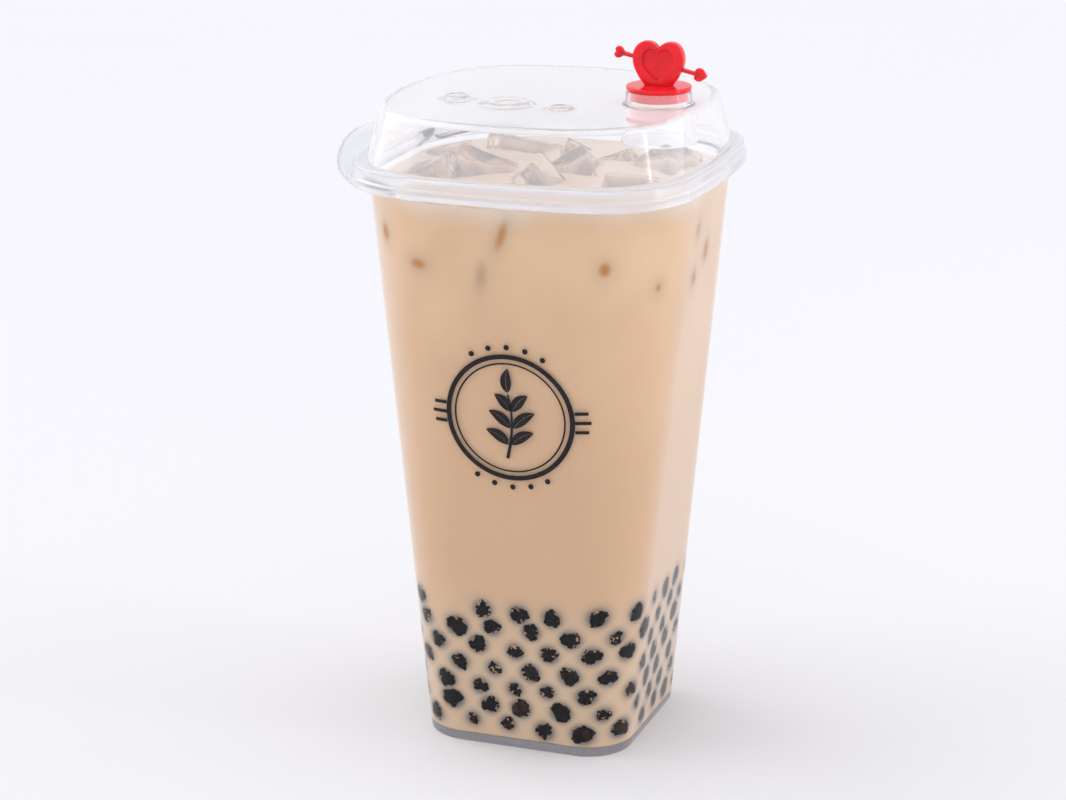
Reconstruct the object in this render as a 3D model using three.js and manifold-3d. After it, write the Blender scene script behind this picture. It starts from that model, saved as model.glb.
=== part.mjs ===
// Milk tea with tapioca pearls and ice in a clear square cup, under a clear domed lid
// whose drinking spout is closed by a red heart stopper. Millimetres, +Z up; the origin
// is the middle of the cup's foot, and the front of the cup faces -Y.

import * as THREE from 'three';
import { ConvexGeometry } from 'three/addons/geometries/ConvexGeometry.js';
import { mergeVertices } from 'three/addons/utils/BufferGeometryUtils.js';
import Module from 'manifold-3d';

// Driving dimensions

const GAP = 0.3; // free gap between touching pieces
const FILL_GAP = 0.4; // free gap between the cup's wall and what fills it
const SIDES = 48; // points round each pressed square outline
const CORNER_PULL = 0.45; // how strongly those points gather at the corners

const FOOT = { half: 28.9, corner: 12.4, bow: 0.00001 };
const MOUTH = { half: 45.2, corner: 34.7, bow: 0.0019 };
const CUP_HEIGHT = 160.2;
const MOUTH_HEIGHT = 155.9; // height at which the body has the MOUTH outline
const WALL = 1.2;
const FLOOR = 3.0;
const FOOT_EDGE = 1.0; // rounding at the bottom edge
const LIP = { half: 46.1, corner: 24.6, bow: 0.0038 };
const LIP_DROP = 3.1; // depth of the lip below the cup's top

const FLANGE = { half: 48.0, corner: 26.4, bow: 0.0038 };
const FLANGE_BOTTOM = 155.9;
const FLANGE_HEIGHT = 2.6;
const BEAD_INSET = 0.8; // the upper bead stands back from the flange
const BEAD_TOP = 161.6;
const LID_WALL = 0.9;
const DOME_BASE = { half: 44.8, corner: 26.0, bow: 0.006 };
const DOME_TOP = { half: 42.6, corner: 28.2, bow: 0.0123 };
const DOME_BASE_HEIGHT = 161.0;
const DOME_TOP_HEIGHT = 175.6;
const SHOULDER = 1.6; // rounding between the dome's wall and its flat top
// Pull tab on the left: its middle and half width in degrees round the lid, then its slope
const TAB = { middle: 177, half: 40, reach: 8.6, rise: 0.7, thickness: 1.3 };
const BUTTONS = [ // raised drink markers on the dome: x, y, radius, rise
  [-22.0, -12.0, 3.9, 1.5], [-7.0, -14.0, 6.8, 0.7], [8.0, -15.5, 3.4, 0.7],
];

const SPOUT_X = 30.0;
const SPOUT_TOP = 179.0;
const SPOUT_BOTTOM = 165.3;
const SPOUT_TOP_RADIUS = 8.55;
const SPOUT_BOTTOM_RADIUS = 9.9;
const SPOUT_WALL = 0.8;

const DISK_RADIUS = 8.6;
const DISK_THICKNESS = 1.0;
const PLUG_RADIUS = 7.45;
const PLUG_WALL = 0.9;
const PLUG_DEPTH = 2.8;
const HEART_THICKNESS = 3.0;
const HEART_HALF = 6.95; // half the heart's width
const HEART_RISE = 11.5; // top of the lobes above the disk
const NECK_HALF = 3.25;
const RECESS = { half: 3.9, bottom: 1.4, top: 9.4, depth: 0.6 };
const ARROW_SLOPE = -12.2; // degrees
const ARROW_MIDDLE = [0.6, 5.6];
const ARROW_THICKNESS = 1.4;
const SHAFT_WIDTH = 0.95;
const ARROW_TAIL = -12.8;
const ARROW_TIP = 12.8;
const ARROW_HEAD = 3.7;
const TAIL_HEART = 2.5; // length of the small heart at the arrow's tail

const DRINK_LEVEL = 154.0;
const LEVELS = [50, 100]; // heights of extra rings, shared by the cup and the drink

const PEARL_RADIUS = 3.9;
const PEARL_ROW = 5.7;
const PEARL_SPACING = 10.9;
const PEARL_SIZES = 0.1; // spread of their sizes
const CORE_INSET = 5.3; // from the cup's inner wall to the heap's core
const HEAP_FRONT = 41.5; // heap height at the front, and how much it rises to the back right
const HEAP_SLOPE = 0.075;
const HEAP_LUMP = 1.3;
const HEAP_CELLS = 10;

// Ice blocks: highest corner x, y, z; sides; then turns about X, Y and Z in degrees
const ICE_BLOCKS = [
  { top: [-23.0, -4.5, 161.4], size: [16, 13, 15], turn: [-33, 24, 28] },
  { top: [-0.7, -6.4, 160.5], size: [14, 15, 14], turn: [15, 45, 10] },
  { top: [6.2, 6.3, 160.5], size: [15, 15, 14], turn: [30, 30, -165] },
  { top: [27.2, 17.5, 160.8], size: [14, 13, 13], turn: [30, 30, 165] },
  { top: [-25.0, -8.5, 159.6], size: [15, 15, 13], turn: [10, -20, -20] },
  { top: [-28.0, 28.0, 157.0], size: [17, 12, 13], turn: [-12, 4, -10] },
  { top: [-6.0, 31.0, 156.8], size: [12, 12, 12], turn: [25, 28, 20] },
  { top: [17.0, -3.5, 156.0], size: [14, 14, 11], turn: [8, 6, 15] },
  { top: [13.0, 27.5, 156.0], size: [11, 10, 11], turn: [20, -15, 40] },
  { top: [-31.0, 19.0, 156.8], size: [13, 11, 12], turn: [10, -14, 12] },
];
const ICE_CHAMFER = 1.6;

// Joining and cutting

const wasm = await Module();
wasm.setup();

function closedGeometry(geometry) {
  const bare = geometry.clone();
  bare.deleteAttribute('normal');
  if (bare.getAttribute('uv')) bare.deleteAttribute('uv');
  const merged = mergeVertices(bare, 1e-4);
  const index = merged.getIndex().array;
  const kept = [];
  for (let i = 0; i < index.length; i += 3) {
    const [a, b, c] = [index[i], index[i + 1], index[i + 2]];
    if (a !== b && b !== c && c !== a) kept.push(a, b, c);
  }
  merged.setIndex(kept);
  return merged;
}

function volumeOf(geometry) {
  const position = geometry.getAttribute('position');
  const index = geometry.getIndex().array;
  const a = new THREE.Vector3();
  const b = new THREE.Vector3();
  const c = new THREE.Vector3();
  let volume = 0;
  for (let i = 0; i < index.length; i += 3) {
    a.fromBufferAttribute(position, index[i]);
    b.fromBufferAttribute(position, index[i + 1]);
    c.fromBufferAttribute(position, index[i + 2]);
    volume += a.dot(b.cross(c)) / 6;
  }
  return volume;
}

function solid(geometry) {
  const closed = closedGeometry(geometry);
  const triangles = Uint32Array.from(closed.getIndex().array);
  if (volumeOf(closed) < 0) {
    for (let i = 0; i < triangles.length; i += 3) {
      [triangles[i + 1], triangles[i + 2]] = [triangles[i + 2], triangles[i + 1]];
    }
  }
  const vertProperties = Float32Array.from(closed.getAttribute('position').array);
  return new wasm.Manifold(new wasm.Mesh({ numProp: 3, vertProperties, triVerts: triangles }));
}

function geometryOf(manifold) {
  const mesh = manifold.getMesh();
  const geometry = new THREE.BufferGeometry();
  geometry.setAttribute('position', new THREE.BufferAttribute(mesh.vertProperties, 3));
  geometry.setIndex(new THREE.BufferAttribute(mesh.triVerts, 1));
  geometry.computeVertexNormals();
  return geometry;
}

// Pressed square outlines: four bowed sides joined by corner arcs

function outlineRadius(outline, angle) {
  const sideRadius = 1 / outline.bow;
  const sideCentre = outline.half - sideRadius;
  const reach = sideRadius - outline.corner;
  const cornerCentre = (sideCentre + Math.sqrt(2 * reach ** 2 - sideCentre ** 2)) / 2;
  const quarter = Math.PI / 2;
  const folded = ((angle % quarter) + quarter) % quarter;
  const turn = Math.min(folded, quarter - folded);
  const touchX = sideCentre + (sideRadius * (cornerCentre - sideCentre)) / reach;
  const touchY = (sideRadius * cornerCentre) / reach;
  if (turn <= Math.atan2(touchY, touchX)) {
    const offAxis = sideCentre * Math.sin(turn);
    return sideCentre * Math.cos(turn) + Math.sqrt(sideRadius ** 2 - offAxis ** 2);
  }
  const along = cornerCentre * (Math.cos(turn) + Math.sin(turn));
  return along + Math.sqrt(outline.corner ** 2 - 2 * cornerCentre ** 2 + along ** 2);
}

function ringAngle(step) {
  const even = (step / SIDES) * 2 * Math.PI;
  return even + (CORNER_PULL / 4) * Math.sin(4 * even);
}

function inset(outline, distance) {
  return {
    half: outline.half - distance,
    corner: outline.corner - distance,
    bow: 1 / (1 / outline.bow - distance),
  };
}

function between(low, high, share) {
  const mix = (key) => low[key] + (high[key] - low[key]) * share;
  return { half: mix('half'), corner: mix('corner'), bow: mix('bow') };
}

const cupOutline = (height) => between(FOOT, MOUTH, height / MOUTH_HEIGHT);
const at = (outline, z) => ({ ...outline, z });
const centre = (z) => ({ half: 0, z });

// How far the pull tab stands out of the flange
function tabReach(angle) {
  const turn = Math.abs(THREE.MathUtils.radToDeg(angle) - TAB.middle) / TAB.half;
  return turn < 1 ? TAB.reach * (1 - turn ** 2.2) : 0;
}

// A lathe whose round rings are pressed into those outlines, from the axis back to it
function pressedLathe(rows) {
  const profile = rows.map((row) => new THREE.Vector2(row.half, row.z));
  const geometry = new THREE.LatheGeometry(profile, SIDES);
  const position = geometry.getAttribute('position');
  for (let step = 0; step <= SIDES; step += 1) {
    const angle = ringAngle(step % SIDES);
    rows.forEach((row, place) => {
      const out = row.tab ? tabReach(angle) : 0;
      const radius = row.half > 0 ? outlineRadius(row, angle) + out : 0;
      const [x, y] = [radius * Math.cos(angle), radius * Math.sin(angle)];
      position.setXYZ(step * rows.length + place, x, y, row.z + TAB.rise * out);
    });
  }
  return solid(geometry);
}

function turned(profile, segments) {
  const points = profile.map(([radius, z]) => new THREE.Vector2(radius, z));
  return solid(new THREE.LatheGeometry(points, segments).rotateX(Math.PI / 2));
}

// Cup

function makeCup() {
  const wallLevels = [FOOT_EDGE, ...LEVELS, MOUTH_HEIGHT];
  const innerLevels = [CUP_HEIGHT, ...[...LEVELS].reverse(), FLOOR + 2 * WALL];
  const lipBottom = CUP_HEIGHT - LIP_DROP;
  return pressedLathe([
    centre(0),
    at(inset(FOOT, FOOT_EDGE), 0),
    ...wallLevels.map((z) => at(cupOutline(z), z)),
    at(LIP, lipBottom),
    at(LIP, CUP_HEIGHT),
    ...innerLevels.map((z) => at(inset(cupOutline(z), WALL), z)),
    at(inset(cupOutline(FLOOR), 2 * WALL), FLOOR),
    centre(FLOOR),
  ]);
}

// Lid: flange and bead over the cup's lip, a dome, its markers, the spout and a pull tab

function makeLid() {
  const bead = inset(FLANGE, BEAD_INSET);
  const flangeTop = FLANGE_BOTTOM + FLANGE_HEIGHT;
  const tabTop = at(FLANGE, FLANGE_BOTTOM + TAB.thickness);
  const skirtInner = inset(bead, LID_WALL);
  const roof = CUP_HEIGHT + GAP;
  const shoulderLow = between(DOME_BASE, DOME_TOP, 0.88);
  const shoulderHeight = DOME_TOP_HEIGHT - SHOULDER;
  const inner = inset(DOME_TOP, LID_WALL + SHOULDER / 2);
  const shell = pressedLathe([
    centre(DOME_TOP_HEIGHT),
    at(inset(DOME_TOP, SHOULDER), DOME_TOP_HEIGHT),
    at(inset(DOME_TOP, SHOULDER / 3), DOME_TOP_HEIGHT - SHOULDER / 3),
    at(shoulderLow, shoulderHeight),
    at(DOME_BASE, DOME_BASE_HEIGHT + LID_WALL / 2),
    at(inset(FLANGE, 3 * BEAD_INSET), BEAD_TOP),
    at(bead, BEAD_TOP - BEAD_INSET),
    at(bead, flangeTop + BEAD_INSET / 2),
    at(FLANGE, flangeTop),
    tabTop,
    { ...tabTop, tab: true },
    { ...at(FLANGE, FLANGE_BOTTOM), tab: true },
    at(FLANGE, FLANGE_BOTTOM),
    at(inset(FLANGE, LID_WALL), FLANGE_BOTTOM),
    at(skirtInner, flangeTop),
    at(skirtInner, roof),
    at(inset(DOME_BASE, LID_WALL), roof),
    at(inset(shoulderLow, LID_WALL), shoulderHeight - LID_WALL / 2),
    at(inner, DOME_TOP_HEIGHT - LID_WALL),
    centre(DOME_TOP_HEIGHT - LID_WALL),
  ]);
  const innerTop = SPOUT_TOP_RADIUS - SPOUT_WALL;
  const innerBottom = SPOUT_BOTTOM_RADIUS - SPOUT_WALL;
  const spoutPart = (profile) => turned(profile, 32).translate([SPOUT_X, 0, 0]);
  const outside = spoutPart([
    [0, SPOUT_BOTTOM], [SPOUT_BOTTOM_RADIUS, SPOUT_BOTTOM],
    [SPOUT_TOP_RADIUS, SPOUT_TOP], [0, SPOUT_TOP],
  ]);
  const slope = (innerTop - innerBottom) / (SPOUT_TOP - SPOUT_BOTTOM);
  const bore = spoutPart([
    [0, SPOUT_BOTTOM - 1], [innerBottom - slope, SPOUT_BOTTOM - 1],
    [innerTop + slope, SPOUT_TOP + 1], [0, SPOUT_TOP + 1],
  ]);
  let lid = shell.add(outside);
  for (const [x, y, radius, rise] of BUTTONS) {
    const marker = turned([
      [0, DOME_TOP_HEIGHT - LID_WALL / 2], [radius, DOME_TOP_HEIGHT - LID_WALL / 2],
      [radius, DOME_TOP_HEIGHT + rise / 3], [radius * 0.75, DOME_TOP_HEIGHT + rise],
      [0, DOME_TOP_HEIGHT + rise],
    ], 16);
    lid = lid.add(marker.translate([x, y, 0]));
  }
  return lid.subtract(bore);
}

// Stopper: drawn upright in its own plane, across and up, then turned to face the front

function heartShape(half, bottomHalf, bottom, top) {
  const tall = top - bottom;
  const widest = bottom + tall * 0.62;
  const notch = top - tall * 0.15;
  const right = (shape) => {
    shape.bezierCurveTo(
      bottomHalf + (half - bottomHalf) * 0.45, bottom + tall * 0.17,
      half, bottom + tall * 0.37, half, widest,
    );
    shape.bezierCurveTo(half, bottom + tall * 0.85, half * 0.76, top, half * 0.47, top);
    shape.bezierCurveTo(half * 0.26, top, half * 0.09, top - tall * 0.06, 0, notch);
  };
  const shape = new THREE.Shape();
  shape.moveTo(bottomHalf, bottom);
  right(shape);
  shape.bezierCurveTo(-half * 0.09, top - tall * 0.06, -half * 0.26, top, -half * 0.47, top);
  shape.bezierCurveTo(-half * 0.76, top, -half, bottom + tall * 0.85, -half, widest);
  shape.bezierCurveTo(
    -half, bottom + tall * 0.37,
    -bottomHalf - (half - bottomHalf) * 0.45, bottom + tall * 0.17, -bottomHalf, bottom,
  );
  shape.closePath();
  return shape;
}

function plate(shape, thickness, curveSegments, bevel = 0) {
  const geometry = new THREE.ExtrudeGeometry(shape, {
    depth: thickness - 2 * bevel,
    curveSegments,
    bevelEnabled: bevel > 0,
    bevelThickness: bevel,
    bevelSize: bevel,
    bevelOffset: -bevel,
    bevelSegments: 1,
  });
  return solid(geometry.translate(0, 0, bevel - thickness / 2));
}

function arrowPlates() {
  const shaft = new THREE.Shape();
  shaft.moveTo(ARROW_TAIL + TAIL_HEART / 2, -SHAFT_WIDTH / 2);
  shaft.lineTo(ARROW_TIP - ARROW_HEAD / 2, -SHAFT_WIDTH / 2);
  shaft.lineTo(ARROW_TIP - ARROW_HEAD / 2, SHAFT_WIDTH / 2);
  shaft.lineTo(ARROW_TAIL + TAIL_HEART / 2, SHAFT_WIDTH / 2);
  shaft.closePath();
  const headBack = ARROW_TIP - ARROW_HEAD;
  const headHalf = ARROW_HEAD * 0.45;
  const head = new THREE.Shape();
  head.moveTo(headBack, 0);
  head.bezierCurveTo(headBack, -headHalf, headBack + headHalf, -headHalf * 1.4, ARROW_TIP, 0);
  head.bezierCurveTo(headBack + headHalf, headHalf * 1.4, headBack, headHalf, headBack, 0);
  const tail = heartShape(TAIL_HEART * 0.55, SHAFT_WIDTH / 2, 0, TAIL_HEART);
  return [
    plate(shaft, ARROW_THICKNESS, 1),
    plate(head, ARROW_THICKNESS, 5),
    plate(tail, ARROW_THICKNESS, 3).rotate([0, 0, 90]).translate([ARROW_TAIL + TAIL_HEART, 0, 0]),
  ];
}

function makeStopper() {
  const half = HEART_THICKNESS / 2;
  const outer = heartShape(HEART_HALF, NECK_HALF, -DISK_THICKNESS / 2, HEART_RISE);
  const hollow = plate(
    heartShape(RECESS.half, 0.25, RECESS.bottom, RECESS.top), RECESS.depth * 2, 4,
  );
  let upright = plate(outer, HEART_THICKNESS, 6, 0.4)
    .subtract(hollow.translate([0, 0, half]))
    .subtract(hollow.translate([0, 0, -half]));
  for (const piece of arrowPlates()) {
    const sloped = piece.rotate([0, 0, ARROW_SLOPE]).translate([...ARROW_MIDDLE, 0]);
    upright = upright.add(sloped);
  }
  const diskBottom = SPOUT_TOP + GAP;
  const diskTop = diskBottom + DISK_THICKNESS;
  const plugBottom = diskBottom - PLUG_DEPTH;
  const closure = turned([
    [0, diskTop], [DISK_RADIUS - 0.3, diskTop], [DISK_RADIUS, diskTop - 0.3],
    [DISK_RADIUS, diskBottom], [PLUG_RADIUS, diskBottom], [PLUG_RADIUS, plugBottom],
    [PLUG_RADIUS - PLUG_WALL, plugBottom], [PLUG_RADIUS - PLUG_WALL, diskBottom], [0, diskBottom],
  ], 28);
  const facing = upright.rotate([90, 0, 0]).translate([0, 0, diskTop]);
  return closure.add(facing).translate([SPOUT_X, 0, 0]);
}

// Ice

function iceBlock({ top, size, turn }, growth) {
  const [a, b, c] = size.map((side) => side / 2);
  const cut = ICE_CHAMFER;
  const corners = [];
  for (const x of [-1, 1]) {
    for (const y of [-1, 1]) {
      for (const z of [-1, 1]) {
        corners.push(
          new THREE.Vector3(x * (a - cut), y * b, z * c),
          new THREE.Vector3(x * a, y * (b - cut), z * c),
          new THREE.Vector3(x * a, y * b, z * (c - cut)),
        );
      }
    }
  }
  const radians = turn.map((angle) => THREE.MathUtils.degToRad(angle));
  const rotation = new THREE.Euler(radians[0], radians[1], radians[2], 'ZYX');
  corners.forEach((corner) => corner.applyEuler(rotation));
  const highest = corners.reduce((best, corner) => (corner.z > best.z ? corner : best)).clone();
  const place = new THREE.Vector3(...top).sub(highest);
  corners.forEach((corner) => {
    corner.addScaledVector(corner.clone().normalize(), growth * 1.6).add(place);
  });
  return solid(new ConvexGeometry(corners));
}

// Heap of pearls

function random(seed) {
  let state = seed;
  return () => {
    state = (state * 1664525 + 1013904223) % 4294967296;
    return state / 4294967296;
  };
}

function heapHeight(x, y) {
  const rise = HEAP_SLOPE * (x * 0.6 + y + FOOT.half);
  const lumps = Math.sin(x * 0.58 + 0.7) * Math.cos(y * 0.63 - 0.4);
  return HEAP_FRONT + rise + HEAP_LUMP * lumps;
}

function heapMould(raise) {
  const width = 2 * MOUTH.half;
  const block = new THREE.BoxGeometry(width, width, 10, HEAP_CELLS, HEAP_CELLS, 1);
  const position = block.getAttribute('position');
  for (let i = 0; i < position.count; i += 1) {
    const [x, y] = [position.getX(i), position.getY(i)];
    position.setZ(i, position.getZ(i) > 0 ? heapHeight(x, y) + raise : -10);
  }
  return solid(block);
}

function ringPlaces(outline, spacing, shift) {
  const fine = 720;
  const lengths = [0];
  const point = (step) => {
    const angle = (step / fine) * 2 * Math.PI;
    const radius = outlineRadius(outline, angle);
    return [radius * Math.cos(angle), radius * Math.sin(angle)];
  };
  for (let step = 1; step <= fine; step += 1) {
    const [x, y] = point(step);
    const [px, py] = point(step - 1);
    lengths.push(lengths[step - 1] + Math.hypot(x - px, y - py));
  }
  const count = Math.round(lengths[fine] / spacing);
  const places = [];
  for (let i = 0; i < count; i += 1) {
    const wanted = (((i + shift) % count) / count) * lengths[fine];
    places.push(point(lengths.findIndex((length) => length >= wanted)));
  }
  return places;
}

function makePearls() {
  const innerAt = (z, distance) => at(inset(cupOutline(z), WALL + FILL_GAP + distance), z);
  const bottom = FLOOR + GAP;
  const tall = HEAP_FRONT + 2 * PEARL_ROW;
  const core = pressedLathe([
    centre(bottom), innerAt(bottom, CORE_INSET), innerAt(tall, CORE_INSET), centre(tall),
  ]).intersect(heapMould(0));
  const draw = random(41);
  const pearls = [];
  const rows = Math.floor((HEAP_FRONT + 4) / PEARL_ROW);
  for (let row = 0; row < rows; row += 1) {
    const height = bottom + PEARL_RADIUS + row * PEARL_ROW;
    const ring = inset(cupOutline(height), WALL + FILL_GAP + PEARL_RADIUS);
    for (const [x, y] of ringPlaces(ring, PEARL_SPACING, row / 2)) {
      const radius = PEARL_RADIUS * (1 - PEARL_SIZES * draw());
      const turn = [draw(), draw(), draw()].map((share) => share * 180);
      const lift = (draw() - 0.5) * 1.6;
      const ceiling = heapHeight(x, y) - PEARL_RADIUS - GAP;
      const z = Math.min(Math.max(height + lift, bottom + radius), ceiling);
      if (height - z < PEARL_ROW / 2) {
        const ball = solid(new THREE.IcosahedronGeometry(radius, 0)).rotate(turn);
        pearls.push(ball.translate([x, y, z]));
      }
    }
  }
  return wasm.Manifold.union([core, ...pearls]);
}

// Inside of the cup from a height up to a level, clear of the wall

function cavity(bottom, top) {
  const rings = [bottom, ...LEVELS.filter((z) => z > bottom && z < top), top];
  return pressedLathe([
    centre(bottom),
    ...rings.map((z) => at(inset(cupOutline(z), WALL + FILL_GAP), z)),
    centre(top),
  ]);
}

// Drink: everything between the heap and the level, cut round the ice
function makeDrink() {
  const cutters = ICE_BLOCKS.map((block) => iceBlock(block, GAP));
  return wasm.Manifold.difference([
    cavity(HEAP_FRONT - 5, DRINK_LEVEL), heapMould(GAP), ...cutters,
  ]);
}

// Ice blocks, each melted back from the wall and from the blocks before it
function makeIce() {
  const room = cavity(LEVELS[1], CUP_HEIGHT + SHOULDER);
  return ICE_BLOCKS.map((block, i) => {
    const before = ICE_BLOCKS.slice(0, i).map((other) => iceBlock(other, GAP));
    return wasm.Manifold.difference([iceBlock(block, 0).intersect(room), ...before]);
  });
}

// Scene graph

const finishes = {
  cup: { color: 0xf1f3f6, roughness: 0.08, metalness: 0 },
  lid: { color: 0xf4f5f8, roughness: 0.12, metalness: 0 },
  stopper: { color: 0xe81f2e, roughness: 0.28, metalness: 0 },
  milk_tea: { color: 0xddb994, roughness: 0.25, metalness: 0 },
  pearls: { color: 0x2b2322, roughness: 0.3, metalness: 0 },
  ice: { color: 0xe3ddd6, roughness: 0.1, metalness: 0 },
};

const group = new THREE.Group();

function addPiece(name, manifold, finish) {
  const mesh = new THREE.Mesh(geometryOf(manifold), new THREE.MeshStandardMaterial(finish));
  mesh.name = name;
  group.add(mesh);
}

addPiece('cup', makeCup(), finishes.cup);
addPiece('lid', makeLid(), finishes.lid);
addPiece('stopper', makeStopper(), finishes.stopper);
addPiece('milk_tea', makeDrink(), finishes.milk_tea);
addPiece('pearls', makePearls(), finishes.pearls);
makeIce().forEach((block, i) => addPiece(`ice_${i + 1}`, block, finishes.ice));

export default group;
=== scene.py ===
import math

import bmesh
import bpy
import numpy as np
from bpy.props import FloatProperty, FloatVectorProperty, IntProperty, PointerProperty
from mathutils import Matrix


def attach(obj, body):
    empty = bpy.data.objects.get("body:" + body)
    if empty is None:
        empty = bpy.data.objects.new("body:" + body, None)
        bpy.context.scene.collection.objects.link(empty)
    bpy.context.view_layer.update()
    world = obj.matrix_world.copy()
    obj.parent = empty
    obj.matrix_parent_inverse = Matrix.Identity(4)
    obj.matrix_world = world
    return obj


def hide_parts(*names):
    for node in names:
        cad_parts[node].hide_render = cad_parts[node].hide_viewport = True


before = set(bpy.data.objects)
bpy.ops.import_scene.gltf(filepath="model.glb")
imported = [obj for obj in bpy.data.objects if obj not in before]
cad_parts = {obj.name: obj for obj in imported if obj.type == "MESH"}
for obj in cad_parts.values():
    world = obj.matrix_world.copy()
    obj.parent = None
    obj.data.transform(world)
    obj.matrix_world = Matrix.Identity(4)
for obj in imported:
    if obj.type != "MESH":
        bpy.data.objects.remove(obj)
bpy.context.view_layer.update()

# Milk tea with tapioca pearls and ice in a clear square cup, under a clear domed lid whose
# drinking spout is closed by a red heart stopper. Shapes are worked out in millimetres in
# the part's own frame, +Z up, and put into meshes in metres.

bl_info = {
    "name": "Bubble tea in a square cup",
    "version": (1, 0, 0),
    "blender": (4, 5, 0),
    "location": "3D View > Sidebar > Bubble tea",
    "description": "Builds a square cup of milk tea with pearls, ice, lid and stopper",
    "category": "Add Mesh",
}

MM = 0.001

# Pressed square outlines: half width, corner radius and bow of the sides
FOOT = np.array([28.9, 12.4, 0.00001])
MOUTH = np.array([45.2, 34.7, 0.0019])
LIP = np.array([46.1, 24.6, 0.0038])
FLANGE = np.array([48.0, 26.4, 0.0038])
DOME_BASE = np.array([44.8, 26.0, 0.006])
DOME_TOP = np.array([42.6, 28.2, 0.0123])
CENTRE = np.array([0, 0, 0.00001])  # an outline without size, for a point on the axis

# Heights and widths that several pieces share
CUP_HEIGHT = 160.2
MOUTH_HEIGHT = 155.9
FLANGE_BOTTOM = 155.9
RIM_TOP = 161.9
DISK_BOTTOM = 179.3
WALL = 1.2
FLOOR = 3.0
SPOUT_X = 30.0
SPOUT_MOUTH, SPOUT_FOOT, SPOUT_WALL = 8.55, 9.9, 0.8
HEAP_FRONT = 41.5


# Settings

def length(name, description, millimetres, low=0.05, high=300.0):
    """A size in metres, given here in millimetres."""
    return FloatProperty(
        name=name, description=description, default=millimetres * MM,
        min=low * MM, max=high * MM, unit="LENGTH", subtype="DISTANCE", precision=5,
    )


def colour(name, description, red, green, blue):
    """A linear colour."""
    return FloatVectorProperty(
        name=name, description=description, default=(red, green, blue),
        size=3, min=0.0, max=1.0, subtype="COLOR",
    )


def factor(name, description, value, low=0.0, high=1.0):
    """A plain number between two limits."""
    return FloatProperty(
        name=name, description=description, default=value, min=low, max=high,
        subtype="FACTOR",
    )


class CupSettings(bpy.types.PropertyGroup):
    """Sizes and finish of the clear cup."""
    wall: length("Wall", "Thickness of the cup's wall", WALL)
    floor: length("Floor", "Thickness of the cup's floor", FLOOR)
    foot_edge: length("Foot edge", "Rounding of the bottom edge", 1.3)
    tint: colour("Tint", "Colour of the clear plastic", 0.985, 0.988, 0.995)
    base_tint: colour("Base tint", "Colour of the thick clear base", 0.15, 0.148, 0.16)
    clearness: factor("Clearness", "Share of the plastic that is clear, not milky", 0.998)
    roughness: factor("Roughness", "Roughness of the plastic", 0.04)


class LidSettings(bpy.types.PropertyGroup):
    """Sizes and finish of the clear lid."""
    wall: length("Wall", "Thickness of the lid's wall", 0.9)
    top: length("Top", "Height of the dome's flat top", 175.6)
    shoulder: length("Shoulder", "Rounding between dome wall and top", 1.6)
    spout_top: length("Spout top", "Height of the spout's rim", 179.0)
    spout_bottom: length("Spout bottom", "Height of the spout's lower edge", 165.3)
    tab_reach: length("Tab reach", "How far the pull tab stands out", 8.55)
    tab_rise: factor("Tab rise", "Slope of the pull tab", 0.7, 0.0, 2.0)
    tint: colour("Tint", "Colour of the clear plastic", 0.995, 0.995, 1.0)
    clearness: factor("Clearness", "Share of the plastic that is clear, not milky", 0.79)
    rim_tint: colour("Rim tint", "Colour of the thicker rim", 0.93, 0.93, 0.94)
    rim_clearness: factor("Rim clearness", "Share of the rim that is clear, not milky", 0.72)
    rim_roughness: factor("Rim roughness", "Roughness of the thicker rim", 0.13)
    roughness: factor("Roughness", "Roughness of the plastic", 0.035)


class StopperSettings(bpy.types.PropertyGroup):
    """Sizes and finish of the red stopper."""
    disk_radius: length("Disk radius", "Radius of the stopper's disk", 8.6)
    disk_thickness: length("Disk thickness", "Thickness of the disk", 1.0)
    plug_depth: length("Plug depth", "How deep the plug reaches", 2.8)
    heart_half: length("Heart half width", "Half the heart's width", 6.95)
    heart_rise: length("Heart rise", "Top of the heart over the disk", 11.5)
    heart_thickness: length("Heart thickness", "Thickness of the heart", 3.0)
    arrow_slope: factor("Arrow slope", "Slope of the arrow in degrees", -12.2, -45.0, 45.0)
    red: colour("Red", "Colour of the stopper", 0.95, 0.012, 0.024)


class DrinkSettings(bpy.types.PropertyGroup):
    """Level and colours of the milk tea."""
    level: length("Level", "Height of the drink's surface", 154.0)
    creep: length("Creep", "How high the drink climbs at the wall", 0.7)
    overlap: length("Overlap", "How far the drink reaches into the wall", 0.35)
    milk: colour("Milk tea", "Colour in the middle of the cup", 0.685, 0.442, 0.268)
    pale: colour("Pale milk tea", "Colour where more milk shows", 0.80, 0.545, 0.335)
    settled: colour("Settled", "Colour of the tea between the pearls", 0.73, 0.525, 0.345)
    foam: colour("Foam", "Colour of the thin pale layer at the top", 0.78, 0.65, 0.53)
    amber: colour("Amber", "Colour where ice touches the wall", 0.52, 0.205, 0.045)
    # Also the colour of the painted grey shade round the ice marks on the wall
    shade: colour("Pearl shade", "Colour of a pearl seen through a film of milk", 0.11, 0.12, 0.13)
    # Painted shade: the tea in the pits under the ice is darkened towards this colour, the more the
    # deeper it lies
    pit_shade: colour("Pit", "Colour of the tea under the ice", 0.44, 0.295, 0.205)
    # Painted sheen: the tea is made paler towards this colour where the wall is seen at a slant, in
    # place of the reflection there
    slant: colour("Slant", "Colour where the wall is seen at a slant", 0.76, 0.57, 0.44)


class PearlSettings(bpy.types.PropertyGroup):
    """Size and colours of the tapioca pearls."""
    radius: length("Radius", "Radius of the largest pearl", 4.15)
    row: length("Row height", "Distance between rows of pearls", 5.7)
    spacing: length("Spacing", "Distance between pearls of a row", 10.9)
    spread: factor("Spread", "Share by which the smallest pearl is smaller", 0.16)
    black: colour("Black", "Colour of most pearls", 0.004, 0.004, 0.005)
    brown: colour("Brown", "Colour of the paler pearls", 0.060, 0.024, 0.012)


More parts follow.
